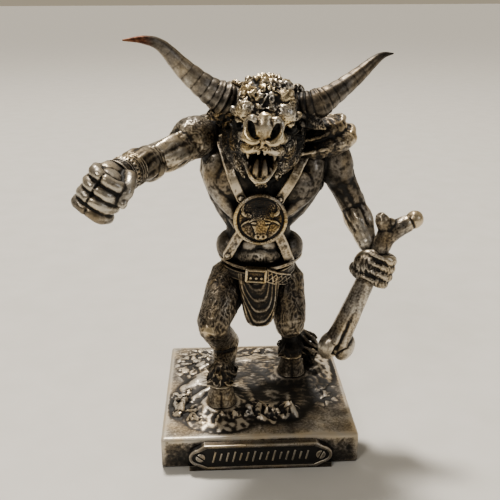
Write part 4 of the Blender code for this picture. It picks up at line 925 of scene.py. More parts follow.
def strapLine(tree, rays):
    landed = []
    for origin, direction in rays:
        _, normal, _, reach = tree.ray_cast(Vector(origin), Vector(direction))
        if normal is not None:
            landed.append((Vector(origin), Vector(direction), normal, reach))
    reaches = taut([reach for _, _, _, reach in landed])
    spots = [origin + reach * direction for (origin, direction, _, _), reach in zip(landed, reaches)]
    line = []
    for i, spot in enumerate(spots):
        near = landed[max(i - 4, 0):i + 5]
        normal = sum((n - 2 * d for _, d, n, _ in near), Vector()).normalized()
        run = (spots[min(i + 1, len(spots) - 1)] - spots[max(i - 1, 0)]).normalized()
        line.append((spot, run, normal, run.cross(normal).normalized()))
    return line


def strap(bm, line, width, thick, point=0.0, inward=4.0, edge=0.35):
    # Cross-section with a raised border along both edges
    rings = []
    total = len(line) - 1
    for i, (spot, _, normal, across) in enumerate(line):
        narrow = 1.0
        if point and i > total * (1 - point):
            narrow = max(0.12, (total - i) / (total * point))
        half = 0.5 * width * narrow
        rim, bed = thick + edge * 0.6, thick * (1 - 0.5 * edge)
        profile = ((-1, -inward), (-1, 0.75 * thick), (-0.92, rim), (-0.74, rim), (-0.66, bed), (0, thick), (0.66, bed),
                   (0.74, rim), (0.92, rim), (1, 0.75 * thick), (1, -inward))
        rings.append([bm.verts.new(spot + across * half * u + normal * h) for u, h in profile])
    skinRings(bm, rings)


def frontRays(points, steps=14):
    path = smoothPath([(x, 0, z, 0) for x, z in points], steps)
    return [((p.x, -80, p.z), (0, 1, 0)) for p in path]


def backRays(points, steps=14):
    path = smoothPath([(x, 0, z, 0) for x, z in points], steps)
    return [((p.x, 80, p.z), (0, -1, 0)) for p in path]


harnessLook = {"width": 4.3, "thick": 1.5, "edge": 0.03}


def rivet(bm, spot, normal, radius=1.2):
    lump(bm, spot + 1.7 * normal, (radius, radius, 0.8), aim=normal)


def keeper(bm, place, width):  # a loop over the strap
    spot, run, normal, across = place
    tube(bm, [(*(spot - across * width * 0.58 - normal * 0.4), 0.55), (*(spot - across * width * 0.5 + normal * 1.8), 0.55),
              (*(spot + across * width * 0.5 + normal * 1.8), 0.55), (*(spot + across * width * 0.58 - normal * 0.4), 0.55)],
         sides=8, steps=4)


def harnessForm(bm):
    width, thick, edge = harnessLook["width"], harnessLook["thick"], harnessLook["edge"]
    lines = [strapLine(torsoTree, frontRays(points)) for points in (
        [(-16, 126), (-12.5, 114), (-8, 102), (-3.5, 93)], [(25, 122), (19, 112), (12, 101), (6.5, 92)],
        [(-4, 86), (-10, 76), (-17.0, 62)], [(7, 86), (12.6, 75), (17.8, 61)])]
    for index, line in enumerate(lines):
        lower = index > 1
        strap(bm, line, width + 0.5 * lower, thick, point=0.16 if lower else 0, edge=edge)
        spot, run, normal, across = line[int((0.8 if lower else 0.76) * len(line))]
        rivet(bm, spot, normal)
        if lower:
            keeper(bm, line[int(0.06 * len(line))], width + 0.4)
            keeper(bm, line[int(0.17 * len(line))], width + 0.4)
        else:  # a stud in a ring
            ring = frameTowards(normal).to_3x3()
            circle = [(*(spot + 1.5 * normal + 2.0 * (ring @ Vector((math.cos(math.tau * k / 12), math.sin(math.tau * k / 12), 0)))),
                       0.4) for k in range(13)]
            tube(bm, circle, sides=8, steps=1)
    for points in ([(-14, 124), (2, 98), (17, 66)], [(23, 121), (4, 98), (-14, 66)]):
        strap(bm, strapLine(torsoTree, backRays(points)), width, thick, edge=edge)


def fusedPiece(name, build, look, material, carving=None, spots=(), lightShadeAndWashSpots=()):
    obj = sculpt(name, build, look)
    if carving:
        carve(obj, carving)
    thinOut(obj, look["triangles"])
    return finishPiece(obj, material, "minotaur", spots=spots, lightShadeAndWashSpots=lightShadeAndWashSpots)


fusedPiece("harness", harnessForm, {"voxel": 0.28, "soften": 1, "triangles": 45000}, leatherMetal,
           lambda p, n: 0.05 * noise.noise(p / 0.8) + 0.10 * noise.noise(p / 2.4), spots=((12, -14, 104, 8, 0.7),),
           lightShadeAndWashSpots=((1.6, -10, 95, 60, 0.06), (-10, -14, 103, 9, 0.1), (12, -14, 104, 9, 0.06), (12, -14, 76, 8, 0.06)))


# Medallion with a bull's mask

medallionLook = {"centre": Vector((1.6, -18.4, 90)), "radius": 11.2}


medallionPlace = Matrix.Translation(medallionLook["centre"]) @ frameTowards((0, -1, -0.06), (1, 0, 0))
medallionInverse = medallionPlace.inverted()


def medallionForm(bm):
    radius, at = medallionLook["radius"], {"frame": medallionPlace}
    bmesh.ops.create_cone(bm, cap_ends=True, segments=64, radius1=radius - 0.3, radius2=radius - 0.5, depth=7,
                          matrix=medallionPlace @ Matrix.Translation((0, 0, -3.4)))
    circle = [(radius * math.cos(math.tau * i / 48), radius * math.sin(math.tau * i / 48), 0.1, 0.85) for i in range(49)]
    tube(bm, circle, steps=1, sides=10, **at)
    # In this frame +Y is up
    lump(bm, (0, 1.4, 0.2), (5.6, 3.2, 1.6), **at)
    tube(bm, [(0, 1.6, 0.2, 5.2), (0, -1.6, 0.5, 4.3), (0, -4.6, 0.7, 3.0), (0, -7.4, 0.5, 2.4)], flat=0.34, hint=(1, 0, 0),
         sides=22, **at)
    lump(bm, (0, -7.6, 0.9), (2.9, 1.8, 1.2), **at)
    for side in (-1, 1):
        tube(bm, [(4.4 * side, 2.4, 0.6, 1.1), (6.8 * side, 2.7, 0.7, 1.0), (8.0 * side, 4.4, 0.6, 0.85),
                  (7.6 * side, 6.4, 0.5, 0.55), (6.8 * side, 7.6, 0.4, 0.25)], sides=10, **at)
        tube(bm, [(5.0 * side, 0.0, 0.6, 0.9), (7.2 * side, -1.0, 0.6, 1.0), (8.8 * side, -2.8, 0.3, 0.4)], flat=0.6, sides=8, **at)
        tube(bm, [(1.5 * side, 0.9, 1.9, 0.35), (3.4 * side, 0.7, 1.8, 0.5), (5.0 * side, -0.5, 1.2, 0.4)], sides=8, **at)
        lump(bm, (3.2 * side, -0.9, 1.6), (1.3, 0.6, 0.6), aim=(0.3 * side, 0, 1), **at)


def medallionCarving(p, n):
    q = medallionInverse @ p
    ring = math.hypot(q.x, q.y)
    depth = 0.08 * noise.noise(p / 0.8) + 0.06 * abs(noise.noise(p / 0.45))
    depth -= 0.35 * math.exp(-((ring - medallionLook["radius"] + 1.5) / 0.35) ** 2)
    if q.y > 0.6 and ring < 9 and abs(q.x) < 6:
        depth += curls(q, 1.9, 0.4)
    for side in (-1, 1):
        depth -= 0.7 * math.exp(-((q.x - 1.2 * side) ** 2 + (q.y + 7.4) ** 2) / 0.4)
        depth -= 0.35 * math.exp(-(((q.x - 3.3 * side) / 1.5) ** 2 + ((q.y + 2.0) / 0.5) ** 2))
    return depth


# Painted shade under the beard across the top of the medallion and at its sides
fusedPiece("medallion", medallionForm, {"voxel": 0.2, "soften": 1, "triangles": 55000}, brassMetal, medallionCarving,
           lightShadeAndWashSpots=((1.6, -19, 97.5, 4.5, -0.35), (1.6, -20, 90, 9, -0.07), (-9.5, -19, 92, 3, -0.1), (12, -19, 92, 3, -0.1)))


# Belt, waistband, buckle and tooled end

def aroundRays(heightAt, centre=(1.8, 2)):
    rays = []
    for angle in range(-180, 181, 4):
        a = math.radians(angle)
        direction = Vector((-math.sin(a), math.cos(a), 0))
        rays.append((Vector((*centre, heightAt(a))) - 60 * direction, direction))
    return rays


def loinForm(bm):
    tube(bm, [(1.6, -9.5, 62, 9), (1.4, -10.6, 52, 8.2), (1.2, -11.4, 43.5, 6.2)], flat=0.42, hint=(1, 0, 0))
    tube(bm, [(1.8, 15.5, 62, 10), (2, 17.5, 52, 9.4), (2, 17, 42, 7.6)], flat=0.28, hint=(1, 0, 0))


dressedMesh = bmesh.new()
torso(dressedMesh)
loinForm(dressedMesh)
lump(dressedMesh, (1.6, 3, 58), (17.6, 12.2, 11))
dressedTree = BVHTree.FromBMesh(dressedMesh)
dressedMesh.free()
beltLook = {"bandHeight": 67.5, "beltHeight": 61.8}


def beltForm(bm):
    band = strapLine(dressedTree, aroundRays(lambda a: beltLook["bandHeight"] - 3.2 * math.cos(a)))
    strap(bm, band, 1.5, 0.7, inward=6, edge=0.05)
    belt = strapLine(dressedTree, aroundRays(lambda a: beltLook["beltHeight"] - 1.2 * math.cos(a)))
    strap(bm, belt, 4.4, 0.8, inward=6, edge=0.3)
    tongue = strapLine(dressedTree, frontRays([(3.5, 62.4), (9.5, 59.6), (17.0, 55.6)]))
    strap(bm, tongue, 6.4, 2.3, point=0.14, inward=4)
    steps = len(tongue)
    for k in range(5):  # crossed diamonds tooled along the loose end
        low, high = int(steps * (0.08 + 0.16 * k)), int(steps * (0.24 + 0.16 * k))
        for sign in (-1, 1):
            (a, _, na, ca), (b, _, nb, cb) = tongue[low], tongue[min(high, steps - 1)]
            tube(bm, [(*(a + ca * 1.9 * sign + na * 2.35), 0.34), (*(b - cb * 1.9 * sign + nb * 2.35), 0.34)], sides=6, steps=3)


def buckleForm(bm):
    hit, _, _, _ = dressedTree.ray_cast(Vector((-0.4, -80, 62.6)), Vector((0, 1, 0)))
    place = Matrix.Translation(hit + Vector((0, -1.6, 0))) @ Euler((0, math.radians(5), 0)).to_matrix().to_4x4()
    bmesh.ops.create_cube(bm, size=1, matrix=place @ Matrix.Diagonal((9.4, 4.4, 6.2, 1)))
    frameLine = [(x, -2.3, z, 0.7) for x, z in ((-4.3, -2.7), (4.3, -2.7), (4.3, 2.7), (-4.3, 2.7), (-4.3, -2.7))]
    for a, b in zip(frameLine, frameLine[1:]):
        tube(bm, [a, b], frame=place, steps=2, sides=8)
    for x in (-2.4, 0.2, 2.6):
        lump(bm, (x, -2.6, -0.9), (0.75, 0.7, 0.75), frame=place)


fusedPiece("belt", beltForm, {"voxel": 0.26, "soften": 1, "triangles": 55000}, leatherMetal,
           lambda p, n: 0.06 * noise.noise(p / 0.7) + 0.12 * noise.noise(p / 2.2), spots=((10, -16, 60, 9, 0.7),),
           lightShadeAndWashSpots=((1.8, 2, 66, 20, -0.16), (-10, -10, 62, 8, -0.12), (12, -14, 59, 7, 0.1)))
fusedPiece("buckle", buckleForm, {"voxel": 0.2, "soften": 1, "triangles": 12000}, brassMetal,
           lambda p, n: 0.04 * noise.noise(p / 0.5))


# Loincloth: a hanging cloth with nested U folds

clothLook = {"top": 62.0, "drop": 25.6}


def clothForm(bm):
    columns, rows = 72, 84
    front, back = [], []
    for j in range(rows + 1):
        v = j / rows
        half = 9.8 - 2.2 * v - 0.9 * v ** 6
        rowFront, rowBack = [], []
        for i in range(columns + 1):
            u = 2 * i / columns - 1
            x = 1.3 + half * u
            z = clothLook["top"] - clothLook["drop"] * v * (1 - 0.14 * abs(u) ** 4)
            drift = u + 0.12 * math.sin(5 * v + 1)
            hang = math.sqrt(v * v + 0.9 * abs(drift) ** 3)  # folds hang in nested U shapes
            swell = min(1, 3 * v)
            fold = (0.34 * math.sin(hang * 31.0 - 0.8 + 0.8 * u) + 0.12 * math.sin(hang * 57 + 2.4 * u)) * swell
            ridge = 0.8 * math.exp(-((abs(u) - 0.86) / 0.10) ** 2)  # rolled side hem
            y = -13.0 - 3.2 * (1 - u * u) * (0.6 + 0.4 * v) - fold * (1 - 0.45 * u * u) - ridge + 2.2 * max(0, 1 - v / 0.16)
            rowFront.append(bm.verts.new((x, y, z)))
            rowBack.append(bm.verts.new((x * 0.98 + 0.03, y + 2.8 + 2.8 * (1 - u * u), z + 0.2)))
        front.append(rowFront)
        back.append(rowBack)
    for sheet in (front, back):
        for j in range(rows):
            for i in range(columns):
                bm.faces.new((sheet[j][i], sheet[j][i + 1], sheet[j + 1][i + 1], sheet[j + 1][i]))
    rim = [(0, i) for i in range(columns)] + [(j, columns) for j in range(rows)]
    rim += [(rows, i) for i in range(columns, 0, -1)] + [(j, 0) for j in range(rows, 0, -1)]
    for (ja, ia), (jb, ib) in zip(rim, rim[1:] + rim[:1]):
        bm.faces.new((front[ja][ia], front[jb][ib], back[jb][ib], back[ja][ia]))


def backClothForm(bm):
    tube(bm, [(1.8, 15.5, 62, 10), (2, 17.5, 52, 9.4), (2, 17, 42, 7.6)], flat=0.28, hint=(1, 0, 0), sides=24)
    for k in range(5):
        x = -5 + 3.4 * k
        tube(bm, [(x, 17.6, 60, 0.9), (x + 0.5 * math.sin(k * 2), 20.4, 52, 1.1), (x * 0.85 + 0.4, 19.6, 43, 1.0),
                  (x * 0.8 + 0.4, 17.6, 37.5, 0.7)], sides=10)


fusedPiece("loincloth", clothForm, {"voxel": 0.28, "soften": 1, "triangles": 34000}, furMetal,
           lambda p, n: 0.05 * noise.noise(p / 0.8) + 0.15 * noise.noise(p / 2.6),
           lightShadeAndWashSpots=((1.3, -14, 56, 8, -0.06), (1.3, -18, 44, 9, -0.02)))
fusedPiece("backCloth", backClothForm, {"voxel": 0.4, "soften": 3, "triangles": 16000}, furMetal,
           lambda p, n: 0.06 * noise.noise(p / 0.9))


# Shoulder plates

plateLook = {
    "lower": {"rim": [(19, -15.5, 118.6), (31, -14.5, 120.6), (40.5, -8.5, 123.6), (44.6, 0, 126), (42.5, 9, 126.6),
                      (34, 15.5, 125), (23, 17, 122)], "middle": (30.5, 0.5, 120.2), "radii": (14.2, 15.4, 5.8)},
    "upper": {"rim": [(18, -12.5, 123.4), (28, -12.5, 125.4), (36.5, -7, 128.8), (40, 1.5, 131), (38, 8.5, 131),
                      (30.5, 13.5, 129.4), (21, 15, 127)], "middle": (28.5, 1, 125.6), "radii": (11.4, 13.2, 5.2)},
}


def shoulderForm(bm):
    for plate in plateLook.values():
        count = len(plate["rim"]) - 1
        middle = Vector(plate["middle"])
        # The rim thickens towards the point of the shoulder
        tube(bm, [(*place, 0.8 + 1.3 * math.sin(math.pi * i / count) ** 4) for i, place in enumerate(plate["rim"])],
             flat=0.8, steps=8, sides=14)
        wide, deep, tall = plate["radii"]
        lump(bm, middle + Vector((2.2, 0, 0.6)), (wide, deep - 0.6, tall + 0.4), aim=(-0.24, 0, 1), rings=20)
        lump(bm, plate["middle"], plate["radii"], aim=(-0.28, 0, 1), rings=20)


def shoulderCarving(p, n):  # hammered, with radial creases
    angle = math.atan2(p.y - 0.5, p.x - 28)
    return (0.28 * noise.noise(p / 2.6) + 0.10 * noise.noise(p / 1.0) + 0.05 * noise.noise(p / 0.5)
            + 0.16 * math.sin(17 * angle + 3 * noise.noise(p / 5)))


# Painted light on the point and top of the shoulder, painted shade on its inner part next to the neck
fusedPiece("shoulderPlates", shoulderForm, {"voxel": 0.35, "soften": 2, "triangles": 45000}, leatherMetal, shoulderCarving,
           spots=((43, -4, 125, 7, 1.0), (30, -14, 121, 6, 0.7)),
           lightShadeAndWashSpots=((27, -6, 124, 12, -0.26), (44, -3, 125.5, 6, 0.26), (40, 0, 131, 4, 0.16)))


# Cuff on the forward arm

cuffLook = {"elbow": Vector((-45.5, -26, 118.8)), "wrist": Vector((-56, -49, 117.2))}


def cuffForm(bm):
    elbow, reach = cuffLook["elbow"], cuffLook["wrist"] - cuffLook["elbow"]
    rings = []
    turn = frameTowards(reach).to_3x3()
    profile = []
    for i in range(60):
        t = i / 59
        radius = 6.3 + 0.25 * math.sin(math.pi * t)
        for centre, wide, tall in ((0.03, 0.022, 0.9), (0.13, 0.022, 0.7), (0.23, 0.018, 0.5), (0.66, 0.018, 0.6)):
            radius += tall * math.exp(-((t - centre) / wide) ** 2)
        radius += 1.5 * max(0, (t - 0.78) / 0.22) ** 2  # flared lip
        profile.append((0.5 + 0.56 * t, radius))
    profile += [(1.07, 7.0), (1.03, 5.6), (0.9, 4.0)]
    profile = [(0.5, 4.5)] + profile
    for share, radius in profile:
        rings.append([bm.verts.new(elbow + share * reach + turn @ Vector((radius * math.cos(math.tau * k / 64),
                                                                        radius * math.sin(math.tau * k / 64), 0)))
                      for k in range(64)])
    skinRings(bm, rings)
    for strand in range(3):  # three strands plaited round the middle
        stations = []
        for i in range(97):
            angle = math.tau * i / 96
            sway = math.sin(9 * angle + math.tau * strand / 3)
            share = 0.5 + 0.56 * (0.45 + 0.13 * sway)
            over = 6.62 + 0.22 * math.cos(18 * angle + math.tau * strand * 2 / 3)
            spot = elbow + share * reach + turn @ Vector((over * math.cos(angle), over * math.sin(angle), 0))
            stations.append((*spot, 0.5))
        tube(bm, stations, sides=8, steps=1)


# Painted shade on the underside of the cuff and painted light on its top
fusedPiece("cuff", cuffForm, {"voxel": 0.26, "soften": 1, "triangles": 34000}, leatherMetal,
           lambda p, n: 0.06 * noise.noise(p / 0.7) + 0.10 * noise.noise(p / 2.0), spots=((-50, -36, 123, 6, 0.7),),
           lightShadeAndWashSpots=((-52, -40, 112, 8, -0.14), (-50, -38, 124, 6, 0.08)))


# Club: a thigh bone

def clubForm(bm):
    bottom, grip, bend = clubSpots["bottom"], clubSpots["grip"], clubSpots["bend"]
    tube(bm, [(*bottom, 6.0), (*(bottom * 0.72 + grip * 0.28), 5.3), (*grip, 4.2), (*bend, 4.5)], steps=8, sides=24)
    across = Vector((0.94, 0.1, -0.2))
    for side, radius in ((-1, 5.3), (1, 4.8)):
        lump(bm, bottom + side * 4.0 * across + Vector((0, 0, -2.6)), (radius, radius, 7.0), aim=clubAxis, rings=18)
        tube(bm, [(*(bottom + side * 3.6 * across + Vector((0, -0.6, 0))), 3.0),
                  (*(bottom + side * 2.0 * across + 11 * clubAxis + Vector((0, -1.2, 0))), 2.4),
                  (*(bottom + 24 * clubAxis + Vector((0, -1.0, 0))), 1.4)])
    tube(bm, [(*(bend - 3 * clubAxis), 4.5), (*(bend + Vector((4.5, 0.3, 1.5))), 4.3), (*(bend + Vector((9.5, 1, 3.8))), 4.0)], sides=20)
    lump(bm, bend + Vector((12.4, 1.6, 5.2)), (4.2, 4.2, 4.2), rings=18)
    tube(bm, [(*bend, 3.9), (*(bend + Vector((-3.4, -0.2, 6.4))), 3.3)], sides=18)
    lump(bm, bend + Vector((0.6, 0, 3.4)), (3.8, 3, 3.2))


def clubCarving(p, n):
    along = (p - clubSpots["bottom"]).dot(clubAxis)
    depth = 0.22 * noise.noise(Vector((p.x / 2.2, p.y / 2.2, p.z / 9))) + 0.05 * noise.noise(p / 0.9)
    if -6 < along < 20 and n.y < 0.3:  # groove between the two knuckles of the bone
        off = (p - clubSpots["bottom"] - along * clubAxis).x
        depth -= 1.5 * math.exp(-(off / 1.1) ** 2) * (1 - along / 20)
    return depth


# Painted highlights on the knob and along the shaft down to the knuckles
fusedPiece("club", clubForm, {"voxel": 0.35, "soften": 4, "triangles": 40000}, skinMetal, clubCarving,
           spots=((74, -8, 86, 6, 1.0), (38, -18, 22, 6, 0.4)), lightShadeAndWashSpots=((74, -8, 86, 6, 0.16), (48, -14, 50, 20, 0.12), (38, -18, 24, 8, 0.18)))


# Plinth with rocky ground

seats = [(*joints["hoof"], hoofLook["soleRadius"] + 0.6) for joints in legJoints] + [(*tailTip, 5.2)]


# Broken shards lie in front of the right hoof and a lip of rock stands beside it; the rest is a smooth swept mound
ridgeLine = [(-37, -10), (-36, -20), (-29, -28), (-19, -31), (-9, -28), (-3, -24), (6, -28), (14, -26)]
lipLine = [(-35, -19), (-29, -13.5), (-21, -8)]
roughPatches = ((-31, 24, 10, 0.9), (3, 37, 8, 0.8), (-27, 36, 6, 0.6), (31, 0, 8, 0.9), (33, -14, 6, 0.5), (21, 31, 5, 0.6))


def nearLine(line, x, y, wide):
    best = 99.0
    for (ax, ay), (bx, by) in zip(line, line[1:]):
        run = max(0, min(1, ((x - ax) * (bx - ax) + (y - ay) * (by - ay)) / ((bx - ax) ** 2 + (by - ay) ** 2)))
        best = min(best, math.hypot(x - ax - run * (bx - ax), y - ay - run * (by - ay)))
    return math.exp(-(best / wide) ** 2)


def shards(x, y, size, tall):  # tilted flakes with sharp edges
    spot = Vector((x, y, 0)) / size
    distances, centres = noise.voronoi(spot)
    off, a, b = spot - centres[0], rnd(centres[0].x, centres[0].y), rnd(centres[0].y, centres[0].x)
    tilt = 0.9 * size * (off.x * math.cos(math.tau * a) + off.y * math.sin(math.tau * a))
    return (tall * (0.3 + 0.9 * b) + tilt) * min(1, 0.35 + (distances[1] - distances[0]) * 4)


def groundHeight(x, y):
    here = Vector((x, y, 3))
    ragged = 0.16 * noise.noise(here / 9)
    fromMiddle = math.hypot((x + 2) / 37, (y - 1) / 37)
    cover = min(max((0.98 - fromMiddle + ragged) / 0.3, 0), 1)
    flow = noise.noise(Vector((x / 16, y / 9, 1 + 0.6 * noise.noise(here / 8))))  # swept clay
    streaks = 0.28 * abs(noise.noise(Vector((x / 7, y / 2.4, 4)))) + 0.08 * noise.noise(here / 1.6)
    height = cover * (2.6 + 1.2 * flow + streaks)
    height += 2.8 * nearLine(lipLine, x + 1.6 * noise.noise(here / 4), y, 3.0)
    broken = shards(x, y, 5.5, 2.0) + 0.6 * shards(x + 40, y, 2.6, 1.3)
    share = nearLine(ridgeLine, x + 2.4 * noise.noise(here / 5), y + 2.4 * noise.noise(Vector((y, x, 9)) / 5), 5.2)
    share = min(1, max(0, 1.8 * share - 0.35))
    height = height * (1 - 0.75 * share) + share * (0.3 + broken)
    for patchX, patchY, radius, strength in roughPatches:
        near = math.exp(-(((x - patchX) ** 2 + (y - patchY) ** 2) / radius ** 2))
        height += strength * near * (0.45 * broken - 0.5)
    for seatX, seatY, radius in seats:
        away = math.hypot(x - seatX, y - seatY) - radius
        flank = plinthSize["mound"] - 0.05 - 0.3 * max(away, 0) + 0.35 * noise.noise(here / 2.5) * min(1, max(away, 0))
        height = max(height, flank) if away > 0 else height
        blend = min(max(away / 1.6, 0), 1)
        height = blend * height + (1 - blend) * (plinthSize["mound"] - 0.05)
    half = plinthSize["width"] / 2
    nearEdge = min(half - abs(x), half - abs(y))
    fade = min(max((nearEdge - 2.6) / 3.0, 0), 1)
    grit = 0.03 * noise.noise(Vector((x, y, 0)) / 1.0) + 0.04 * noise.noise(Vector((x, y, 0)) / 5)
    return max(height, 0) * fade + grit * min(1, nearEdge / 2)


def buildPlinth():
    bpy.ops.mesh.primitive_cube_add(size=1, location=(0, 0, 0))
    plinth = bpy.context.object
    plinth.name = plinth.data.name = "plinthBlock"
    plinth.scale = (plinthSize["width"] * mm, plinthSize["depth"] * mm, plinthSize["height"] * mm)
    plinth.location = (0, 0, plinthSize["height"] * mm / 2)
    selectOnly(plinth)
    bpy.ops.object.transform_apply(location=True, rotation=True, scale=True)
    applyModifier(plinth, "BEVEL", width=plinthSize["chamfer"] * mm, segments=3, limit_method="ANGLE")
    co, _, _ = meshArrays(plinth)  # the underside stays flat and full width
    low = co[:, 2] < plinthSize["chamfer"] * mm * 1.05
    co[low, 2] = np.where(co[low, 2] < 0.5 * plinthSize["chamfer"] * mm, 0, co[low, 2] * 0.3)
    setPoints(plinth, co)
    applyModifier(plinth, "REMESH", mode="VOXEL", voxel_size=0.68 * mm)
    co, normals, _ = meshArrays(plinth)
    top = co[:, 2] > (plinthSize["height"] - 0.12) * mm
    for i in np.nonzero(top)[0]:
        co[i, 2] += groundHeight(co[i, 0] / mm, co[i, 1] / mm) * mm
    for i in np.nonzero(~top & (co[:, 2] > 0.5 * mm))[0]:  # sides: cast pits and knocks on the edges
        spot = Vector(co[i]) / mm
        knock = 0.25 * max(0, noise.noise(spot / 3) - 0.25) + 0.05 * noise.noise(spot / 1.2)
        co[i] -= normals[i] * knock * mm
    setPoints(plinth, co)
    applyModifier(plinth, "TRIANGULATE")
    selectOnly(plinth)
    bpy.ops.object.shade_smooth_by_angle(angle=math.radians(32))
    return plinth


# Painted shade under the figure and over the right side of the mound, painted light along the front and sides of the
# top; the front face is darker towards the bottom
finishPiece(buildPlinth(), rockMetal, "plinth", spots=(
    (45, -40, -5, 7, 0.9), (0, -45, -4.5, 5, 0.7), (-20, -34, 2, 6, 0.7), (-8, -37, 2, 6, 0.6), (-43, 0, -4, 6, 0.6)),
    lightShadeAndWashSpots=((4, 2, 0, 18, -0.16), (26, -6, 0, 14, -0.3), (-17, -30, 2, 10, -0.2), (6, -27, 2, 8, -0.14),
           (-36, -38, -4, 16, 0.18), (-4, -40, -4, 13, 0.3), (-40, 10, -4, 20, 0.08), (34, -40, -4, 13, 0.2),
           (30, 38, -4, 18, 0.04), (-30, 38, -4, 18, 0.08), (0, -45, -16, 14, -0.24), (-40, -45, -16, 12, -0.3),
           (40, -45, -16, 12, -0.26)))
print("plinth done")


# Nameplate

plateSize = {"width": 64.8, "thick": 3.6, "ear": 5.2, "frame": 1.4, "fieldDepth": 0.9, "foot": 2.6, "topMargin": 1.6,
             "screw": 2.1, "slot": 0.7, "strokes": 15, "strokeWidth": 0.8, "strokeTall": 5.6, "strokeLean": 14}


def plateOutline(grow, corner=8):
    width, ear = plateSize["width"], plateSize["ear"]
    tall = plinthSize["height"] - plateSize["topMargin"] - 0.3 * plateSize["foot"]
    earX = width / 2 - ear
    barX = earX - 0.35 * ear
    half = tall / 2 + grow
    points = []
    for side in (1, -1):
        for i in range(corner * 2 + 1):
            angle = math.radians(-75 + 150 * i / (corner * 2))
            points.append((side * (earX + (ear + grow) * math.cos(angle)), side * (0.86 * ear + grow) * math.sin(angle)))
        points.append((side * (barX + grow), side * half))
        points.append((-side * (barX + grow), side * half))
    return points


def prism(bm, outline, back, front):
    rings = [[bm.verts.new((x, y, z)) for x, z in outline] for y in (back, front)]
    skinRings(bm, rings)


def nameplateForm(bm):
    centreZ = (plinthSize["height"] - plateSize["topMargin"]) / 2 + plateSize["foot"] * 0.15
    face = -plateSize["thick"]
    field = face + plateSize["fieldDepth"]
    outer, inner, middle = plateOutline(0), plateOutline(-plateSize["frame"]), plateOutline(-0.45 * plateSize["frame"])
    shoulder = plateOutline(-0.12 * plateSize["frame"])
    rings = [[bm.verts.new((x, y, z)) for x, z in outline] for outline, y in (
        (outer, 0), (outer, face + 0.5), (shoulder, face + 0.12), (middle, face), (inner, face + 0.12), (inner, field))]
    skinRings(bm, rings)
    half, low = plateSize["width"] / 2, -centreZ
    prism(bm, [(-half, low), (half, low), (half, low + plateSize["foot"]), (-half, low + plateSize["foot"])], -0.01, 0.8 * face)
    for side in (-1, 1):  # slotted screw heads, each cast as two halves with the slot between
        x, radius = side * (half - plateSize["ear"]), plateSize["screw"]
        turn = math.radians(40 if side < 0 else -65)
        for part in (0, 1):
            outline = []
            for k in range(13):
                angle = math.asin(plateSize["slot"] / 2 / radius) + (math.pi - 2 * math.asin(plateSize["slot"] / 2 / radius)) * k / 12
                angle += math.pi * part - turn
                outline.append((x + radius * math.cos(angle), radius * math.sin(angle)))
            prism(bm, outline, field + 0.3, field - 0.75)
    rowWidth = plateSize["width"] - 4.4 * plateSize["ear"]
    for k in range(plateSize["strokes"]):  # a row of plain strokes
        lean = math.radians(plateSize["strokeLean"])
        tall = plateSize["strokeTall"] * (1.0, 0.7, 0.85)[k % 3] / 2
        wide = plateSize["strokeWidth"] / 2
        x = rowWidth * (k / (plateSize["strokes"] - 1) - 0.5)
        corners = [(-wide, -tall), (wide, -tall), (wide, tall), (-wide, tall)]
        prism(bm, [(x + u * math.cos(lean) + w * math.sin(lean), -u * math.sin(lean) + w * math.cos(lean))
                   for u, w in corners], field + 0.3, field - 0.45)
    bmesh.ops.translate(bm, verts=bm.verts, vec=(0, -plinthSize["depth"] / 2 - plinthSize["gap"], centreZ))


bm = bmesh.new()
nameplateForm(bm)
nameplate = objectFrom(bm, "namePlaque", toPlinth)
applyModifier(nameplate, "REMESH", mode="VOXEL", voxel_size=0.16 * mm)
applyModifier(nameplate, "SMOOTH", factor=0.5, iterations=1)
outerShells(nameplate)
thinOut(nameplate, 45000)
plaqueMetal = antiqueMetal("wornBrassPlaque", {"pewter": pewterStops, "brass": bronzeStops, "brassShare": 0.35, "rub": 0.06,
                                               "polish": 0.3, "grain": 0.4, "hollowWashAndShade": 3.0})
finishPiece(nameplate, plaqueMetal, "nameplate")
co, normals, _ = meshArrays(nameplate)  # the field between the strokes is filled with black wash
fieldDepth = -plinthSize["depth"] / 2 - plinthSize["gap"] - plateSize["thick"] + plateSize["fieldDepth"]
sunk = np.clip((co[:, 1] / mm - fieldDepth + 0.30) / 0.22, 0, 1)
strokeTop = np.clip((fieldDepth - 0.25 - co[:, 1] / mm) / 0.1, 0, 1) * (np.abs(co[:, 2] / mm - 7) < 3.6)
# Upward faces outside the field are made lighter: a painted highlight where the light falls from above
setAttribute(nameplate, "lightShadeAndWash", -0.42 * sunk * (np.abs(co[:, 2] / mm - 7) < 5.6) + 0.02 * strokeTop
             + 0.3 * np.clip(normals[:, 2], 0, 1) * (1 - sunk))
print("nameplate done")


# Floor, light and camera

stageLook = {"room": "#b3a68f", "key": "#fff6ea", "fill": "#eef0f6"}


def addFloor():
    bpy.ops.mesh.primitive_plane_add(size=1)
    floor = bpy.context.object
    floor.name = "floor"
    floor.scale = (80, 80, 1)
    bpy.ops.object.transform_apply(scale=True)
    material = bpy.data.materials.new("paleTable")
    material.use_nodes = True
    tree = material.node_tree
    shader = tree.nodes["Principled BSDF"]
    place = addNode(tree, "ShaderNodeTexCoord").outputs["Object"]
    speckle = addNode(tree, "ShaderNodeTexNoise", {"Vector": place, "Scale": 40.0, "Detail": 2.0}).outputs["Fac"]
    tree.links.new(rampNode(tree, speckle, ((0.3, "#d5d4ce"), (0.7, "#dbdad5"))), shader.inputs["Base Color"])
    shader.inputs["Roughness"].default_value = 0.6
    floor.data.materials.append(material)


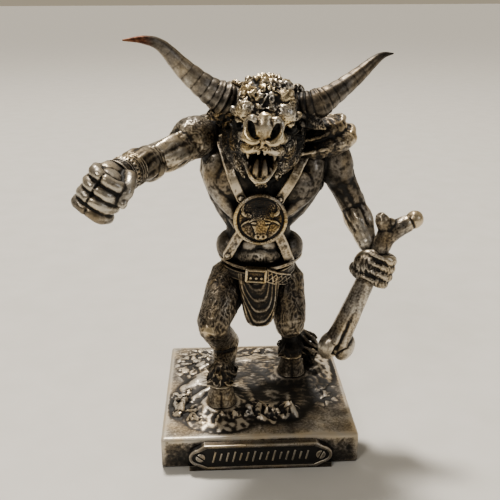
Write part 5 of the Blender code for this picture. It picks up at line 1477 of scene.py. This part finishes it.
def addLight(place, target, size, power, colour):
    bpy.ops.object.light_add(type="AREA", location=place)
    light = bpy.context.object
    light.data.energy = power
    light.data.size = size
    light.data.color = hexColour(colour)[:3]
    light.rotation_euler = (Vector(target) - Vector(place)).to_track_quat("-Z", "Y").to_euler()


def addWorld():
    world = bpy.context.scene.world or bpy.data.worlds.new("room")
    bpy.context.scene.world = world
    world.use_nodes = True
    tree = world.node_tree  # the wall behind the statue is lit, the room in front of it is dark
    backdrop = tree.nodes["Background"]
    backdrop.inputs["Color"].default_value = hexColour(stageLook["room"])
    towards = addNode(tree, "ShaderNodeTexCoord").outputs["Generated"]
    depth = addNode(tree, "ShaderNodeSeparateXYZ", {0: towards}).outputs["Y"]
    shade = addNode(tree, "ShaderNodeMapRange", {"Value": depth, "From Min": -0.3, "From Max": 0.6, "To Min": 0.16,
                                                 "To Max": 0.85}).outputs[0]
    tree.links.new(shade, backdrop.inputs["Strength"])


def addCamera():
    bpy.ops.object.camera_add()
    view = bpy.context.object
    view.data.sensor_width = 36
    view.data.lens = 703.8 * 36 / 500
    view.data.clip_start = 0.01
    turn = Matrix.Rotation(math.radians(-2.55), 4, "Z") @ Matrix.Rotation(math.radians(90 - 19.48), 4, "X")
    turn = turn @ Matrix.Rotation(math.radians(-0.26), 4, "Z")
    view.matrix_world = Matrix.Translation((-0.0164, -0.3163, 0.2007)) @ turn
    bpy.context.scene.camera = view


addFloor()
addWorld()
bpy.ops.object.light_add(type="SUN")
daylight = bpy.context.object
daylight.data.energy = 2.6
daylight.data.angle = math.radians(9)
daylight.data.color = hexColour(stageLook["key"])[:3]
daylight.rotation_euler = Vector((0.12, -0.42, -1)).to_track_quat("-Z", "Y").to_euler()
addLight((-0.22, 0.80, 1.85), (0, 0, 0.06), 0.24, 30, stageLook["key"])
addLight((-0.55, -0.75, 0.95), (0, 0, 0.1), 0.3, 4.4, stageLook["key"])
addLight((0.7, -0.6, 0.6), (0, 0, 0.1), 0.45, 1.2, stageLook["fill"])
addCamera()
print("stage set")
